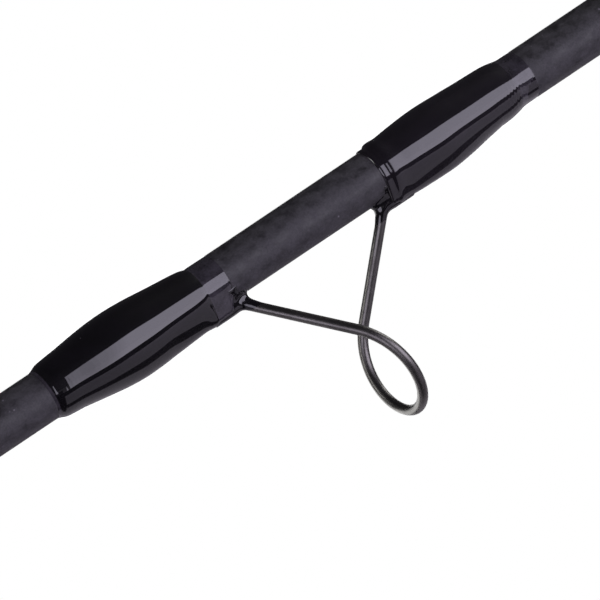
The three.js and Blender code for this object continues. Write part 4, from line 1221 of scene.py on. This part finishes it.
def make_cap_and_handle():
    """The screw cap over the spindle, and the handle with the weight that balances it."""
    face = FRONT_FLANGE[0] - 0.3
    cap = turned("y", rounded([
        (face, 0), (face, 8.6), (face - 1.9, 8.6), (face - 2.2, 8.0), (face - 2.6, 8.0), (face - 3.3, 7),
        (face - 3.9, 3), (face - 3.9, 0)], 0.3, 3), 96, REEL_CENTRE)
    slot = slab(box_outline(-5.5, 5.5, -0.7, 0.7), "y", face - 5.7, face - 3, REEL_CENTRE)
    show("spool_cap", carve(cap, [slot], 0.12), STEEL_REEL)

    end, start, post = -34, -15.2, 1.6
    out = (HANDLE_CIRCLE * math.cos(HANDLE_TURN), 0, HANDLE_CIRCLE * math.sin(HANDLE_TURN))
    pin = turned("y", rounded([
        (face, 0), (face, 3.8), (face - 1.6, 3.8), (face - 1.6, post), (end - 0.4, post), (end - 0.4, 2.8),
        (end - 1.6, 2.5), (end - 1.6, 0)], 0.25, 3), 64, at_reel(out))
    drive = slab(box_outline(-1.9, 1.9, -0.3, 0.3), "y", end - 3, end - 1.1, at_reel(out))
    show("handle_post", carve(pin, [drive], 0.08), STEEL_REEL)
    reel_part("handle_knob", BLACK_REEL, [
        (start, post + 0.35), (start, 3.9), (start - 0.8, 4.25), (start - 2, 4.3), (start - 2.4, 4.0),
        (start - 2.9, 4.0), (start - 3.3, 4.15), (start - 6, 3.7), (start - 9, 3.95), (start - 12, 4.6),
        (start - 15, 5.4), (start - 16.5, 5.6), (end + 0.8, 5.4), (end, 4.4), (end, post + 0.35),
    ], 0.8, 5, 96, at_reel(out))
    reel_part("counterweight", STEEL_REEL, [
        (face, 0), (face, 5.4), (face - 1.6, 5.4), (face - 2.6, 4.4), (face - 2.6, 2.2), (face - 2.2, 1.8),
        (face - 2.2, 0),
    ], middle=at_reel(tuple(-c for c in out)), loop=False)


def make_foot():
    """The foot: a plate hollowed to the seat, on a pedestal screwed down to the frame's pad."""
    start, end, half_width, tip, thick, slope = 39.5 - REEL_X, 105.5 - REEL_X, 6.5, 1.4, 3, 14
    seat_z = -REEL_Z
    face = seat_z - BARREL_RADIUS
    side = [(start, face + 2), (end, face + 2), (end, face - tip), (end - slope, face - thick),
            (start + slope, face - thick), (start, face - tip)]
    plate = slab(side, "y", -half_width, half_width, REEL_CENTRE)
    carve(plate, [plug("x", start - 1, end + 1, 9.05, at_reel((0, 0, seat_z - 3)), 96)], 0, "INTERSECT")
    flank = [(14, face - 2), (12.2, face - 5), (10.6, FOOT_BASE + 4), (10, FOOT_BASE + 2),
             (9.5, FOOT_BASE + 0.3)]
    outline = flank + [(-x, z) for x, z in flank[::-1]]
    carve(plate, [slab(outline, "y", -4.4, 4.4, REEL_CENTRE)], 0, "UNION")
    tools = [plug("x", start - 2, end + 2, BARREL_RADIUS + 0.15, at_reel((0, 0, seat_z)), 128)]
    for x in FOOT_SCREWS:
        tools.append(plug("z", FOOT_BASE - 1, seat_z, 1.6, at_reel((x, 0, 0)), 32))
        tools.append(plug("z", face - 2.6, seat_z, 2.7, at_reel((x, 0, 0)), 40))
    show("reel_foot", carve(plate, tools, 0.22), BLACK_REEL)
    under, head, shank, head_radius = face - 2.3, face - 0.8, 1.2, 2.3
    for i, x in enumerate(FOOT_SCREWS, 1):
        screw = turned("z", rounded([
            (FOOT_BASE - 2.4, 0), (FOOT_BASE - 2.4, shank), (under, shank), (under, head_radius),
            (head, head_radius), (head, 0)], 0.15, 3), 48, at_reel((x, 0, 0)))
        key = turned("z", [(face - 1.6, 1.15), (face, 1.15)], 6, at_reel((x, 0, 0)))
        show(f"foot_screw_{i}", carve(screw, [key], 0.05), STEEL)


make_frame()
make_spool()
make_drag()
make_cap_and_handle()
make_foot()

# ------------------------------------------------------------------ floor and light

# Places and sizes here are in metres. The floor lies low, and its far edge is skewed, so that the
# picture stays clear of it.
FLOOR_Z, CARD_Z = -0.85, -0.6
FLOOR = ((-6, -6.5), (14, -13), (14, 9), (-6, 9))
LIT_X, LIT_Y = (-1.3, 3.1), 1.6     # the part of it that lights and mirrors in the object
BOX_TINT = (0.96, 0.91, 1.10)
FRONT_Y, FRONT_BOTTOM, FRONT_TOP = 0.8, -0.585, 0.17
ROD_MIDDLE = 0.8


def card(name, corners, look, *hidden_from):
    """A flat four-cornered sheet of the stage, which the listed kinds of ray don't meet."""
    mesh = bpy.data.meshes.new(name)
    mesh.from_pydata(corners, [], [(0, 1, 2, 3)])
    mesh.materials.append(look)
    made = bpy.data.objects.new(name, mesh)
    bpy.context.scene.collection.objects.link(made)
    for kind in hidden_from:
        setattr(made, f"visible_{kind}", False)


def level(x0, x1, y0, y1, z):
    return [(x0, y0, z), (x1, y0, z), (x1, y1, z), (x0, y1, z)]


def card_look(name, dark, light, spots, **values):
    look = Look(name, Roughness=0.9, **values)
    look.set("Base Color", look.ramp(look.noise(spots, 3), (0.3, dark), (0.7, light)))
    return look


def make_stage():
    """A pale floor for the camera, and cards in its place for reflections and bounced light."""
    pale = card_look("pale_floor", (0.019, 0.0188, 0.0195), (0.023, 0.0228, 0.0236), 60,
                     Emission_Strength=0.9)
    glow = pale.ramp(pale.noise(60, 3), (0.3, (0.97, 0.965, 0.98)), (0.7, (1.0, 0.995, 1.0)))
    pale.set("Emission Color", glow)
    card("floor", [(x, y, FLOOR_Z) for x, y in FLOOR], pale.material, "diffuse", "glossy", "shadow")

    grey = card_look("grey_card", (0.545, 0.51, 0.565), (0.60, 0.565, 0.62), 60).material
    card("card_as_floor", level(*LIT_X, -LIT_Y, LIT_Y, CARD_Z + 0.001), grey, "camera", "shadow")

    # The dark cards make the dark lines under and beside the strips of light.
    dark = card_look("dark_card", (0.004, 0.004, 0.005), (0.006, 0.006, 0.007), 5).material
    (x0, x1), y, top = LIT_X, 0.48, -0.355
    upright = [(x0, y, CARD_Z), (x1, y, CARD_Z), (x1, y, top), (x0, y, top)]
    for name, corners in (("card_under_box", upright),
                          ("card_past_guide", level(0.93, 1.5, -0.3, 1.2, CARD_Z + 0.002)),
                          ("card_on_floor", level(x0, x1, -0.12, 0.03, CARD_Z + 0.003))):
        card(name, corners, dark, "camera", "shadow", "diffuse")


def area_light(name, place, towards, width, height, radiance, color=(1, 1, 1)):
    """A soft box that the camera doesn't see. A radiance of 1 is that of a lit white surface."""
    data = bpy.data.lights.new(name, "AREA")
    data.shape = "RECTANGLE"
    data.size, data.size_y = width, height
    data.energy = radiance * math.pi * width * height
    data.color = color
    lamp = bpy.data.objects.new(name, data)
    back = (Vector(place) - Vector(towards)).normalized()
    across = Vector((0, 1, 0)) if abs(back.x) > 0.5 else Vector((1, 0, 0))
    up = back.cross(across).normalized()
    lamp.matrix_world = bpy_matrix(up.cross(back), up, back, Vector(place))
    lamp.visible_camera = False
    bpy.context.scene.collection.objects.link(lamp)


def front_light(name, x, aim_x, width, radiance):
    """A part of the long box on the front side."""
    z, height = (FRONT_TOP + FRONT_BOTTOM) / 2, FRONT_TOP - FRONT_BOTTOM
    area_light(name, (x, FRONT_Y, z), (aim_x, 0, z), width, height, radiance, BOX_TINT)


def make_world():
    """White for the camera, dim for everything else."""
    world = bpy.data.worlds.new("studio")
    world.use_nodes = True
    bpy.context.scene.world = world
    tree = world.node_tree
    tree.nodes.clear()
    out, path, pick, unseen, seen = (tree.nodes.new(f"ShaderNode{kind}") for kind in (
        "OutputWorld", "LightPath", "MixShader", "Background", "Background"))
    seen.inputs[0].default_value = (1, 1, 1, 1)
    unseen.inputs[0].default_value = (0.045, 0.043, 0.05, 1)
    tree.links.new(path.outputs["Is Camera Ray"], pick.inputs[0])
    tree.links.new(unseen.outputs[0], pick.inputs[1])
    tree.links.new(seen.outputs[0], pick.inputs[2])
    tree.links.new(pick.outputs[0], out.inputs[0])


def make_light():
    """Soft boxes on all four sides of the rod."""
    # The front box fades towards the tip, so its reflection in the first guide's wraps does too.
    start, fade_start, fade_end, slices = -0.7, 0.58, 0.765, 8
    front_light("front_box", (start + fade_start) / 2, (start + fade_start) / 2, fade_start - start, 3.8)
    width = (fade_end - fade_start) / slices
    for k in range(slices):
        x = fade_start + (k + 0.5) * width
        front_light("front_box", x, x, width, 3.7 - 1.3 * k / (slices - 1))
    front_light("tip_front_box", 2.0, 1.7, 1.2, 3.0)
    area_light("back_box", (ROD_MIDDLE, -1.2, 0.02), (ROD_MIDDLE, 0, 0.02), 3.4, 0.8, 2.4)
    area_light("butt_box", (-1.5, 0, 1.2), (0.1, 0, 0), 1.2, 1.0, 6)
    area_light("tip_box", (2.9, 0, 1.2), (1.6, 0, 0), 1.2, 1.0, 5)
    bpy.context.scene.view_settings.view_transform = "Standard"
    bpy.context.scene.view_settings.look = "None"


make_stage()
make_world()
make_light()
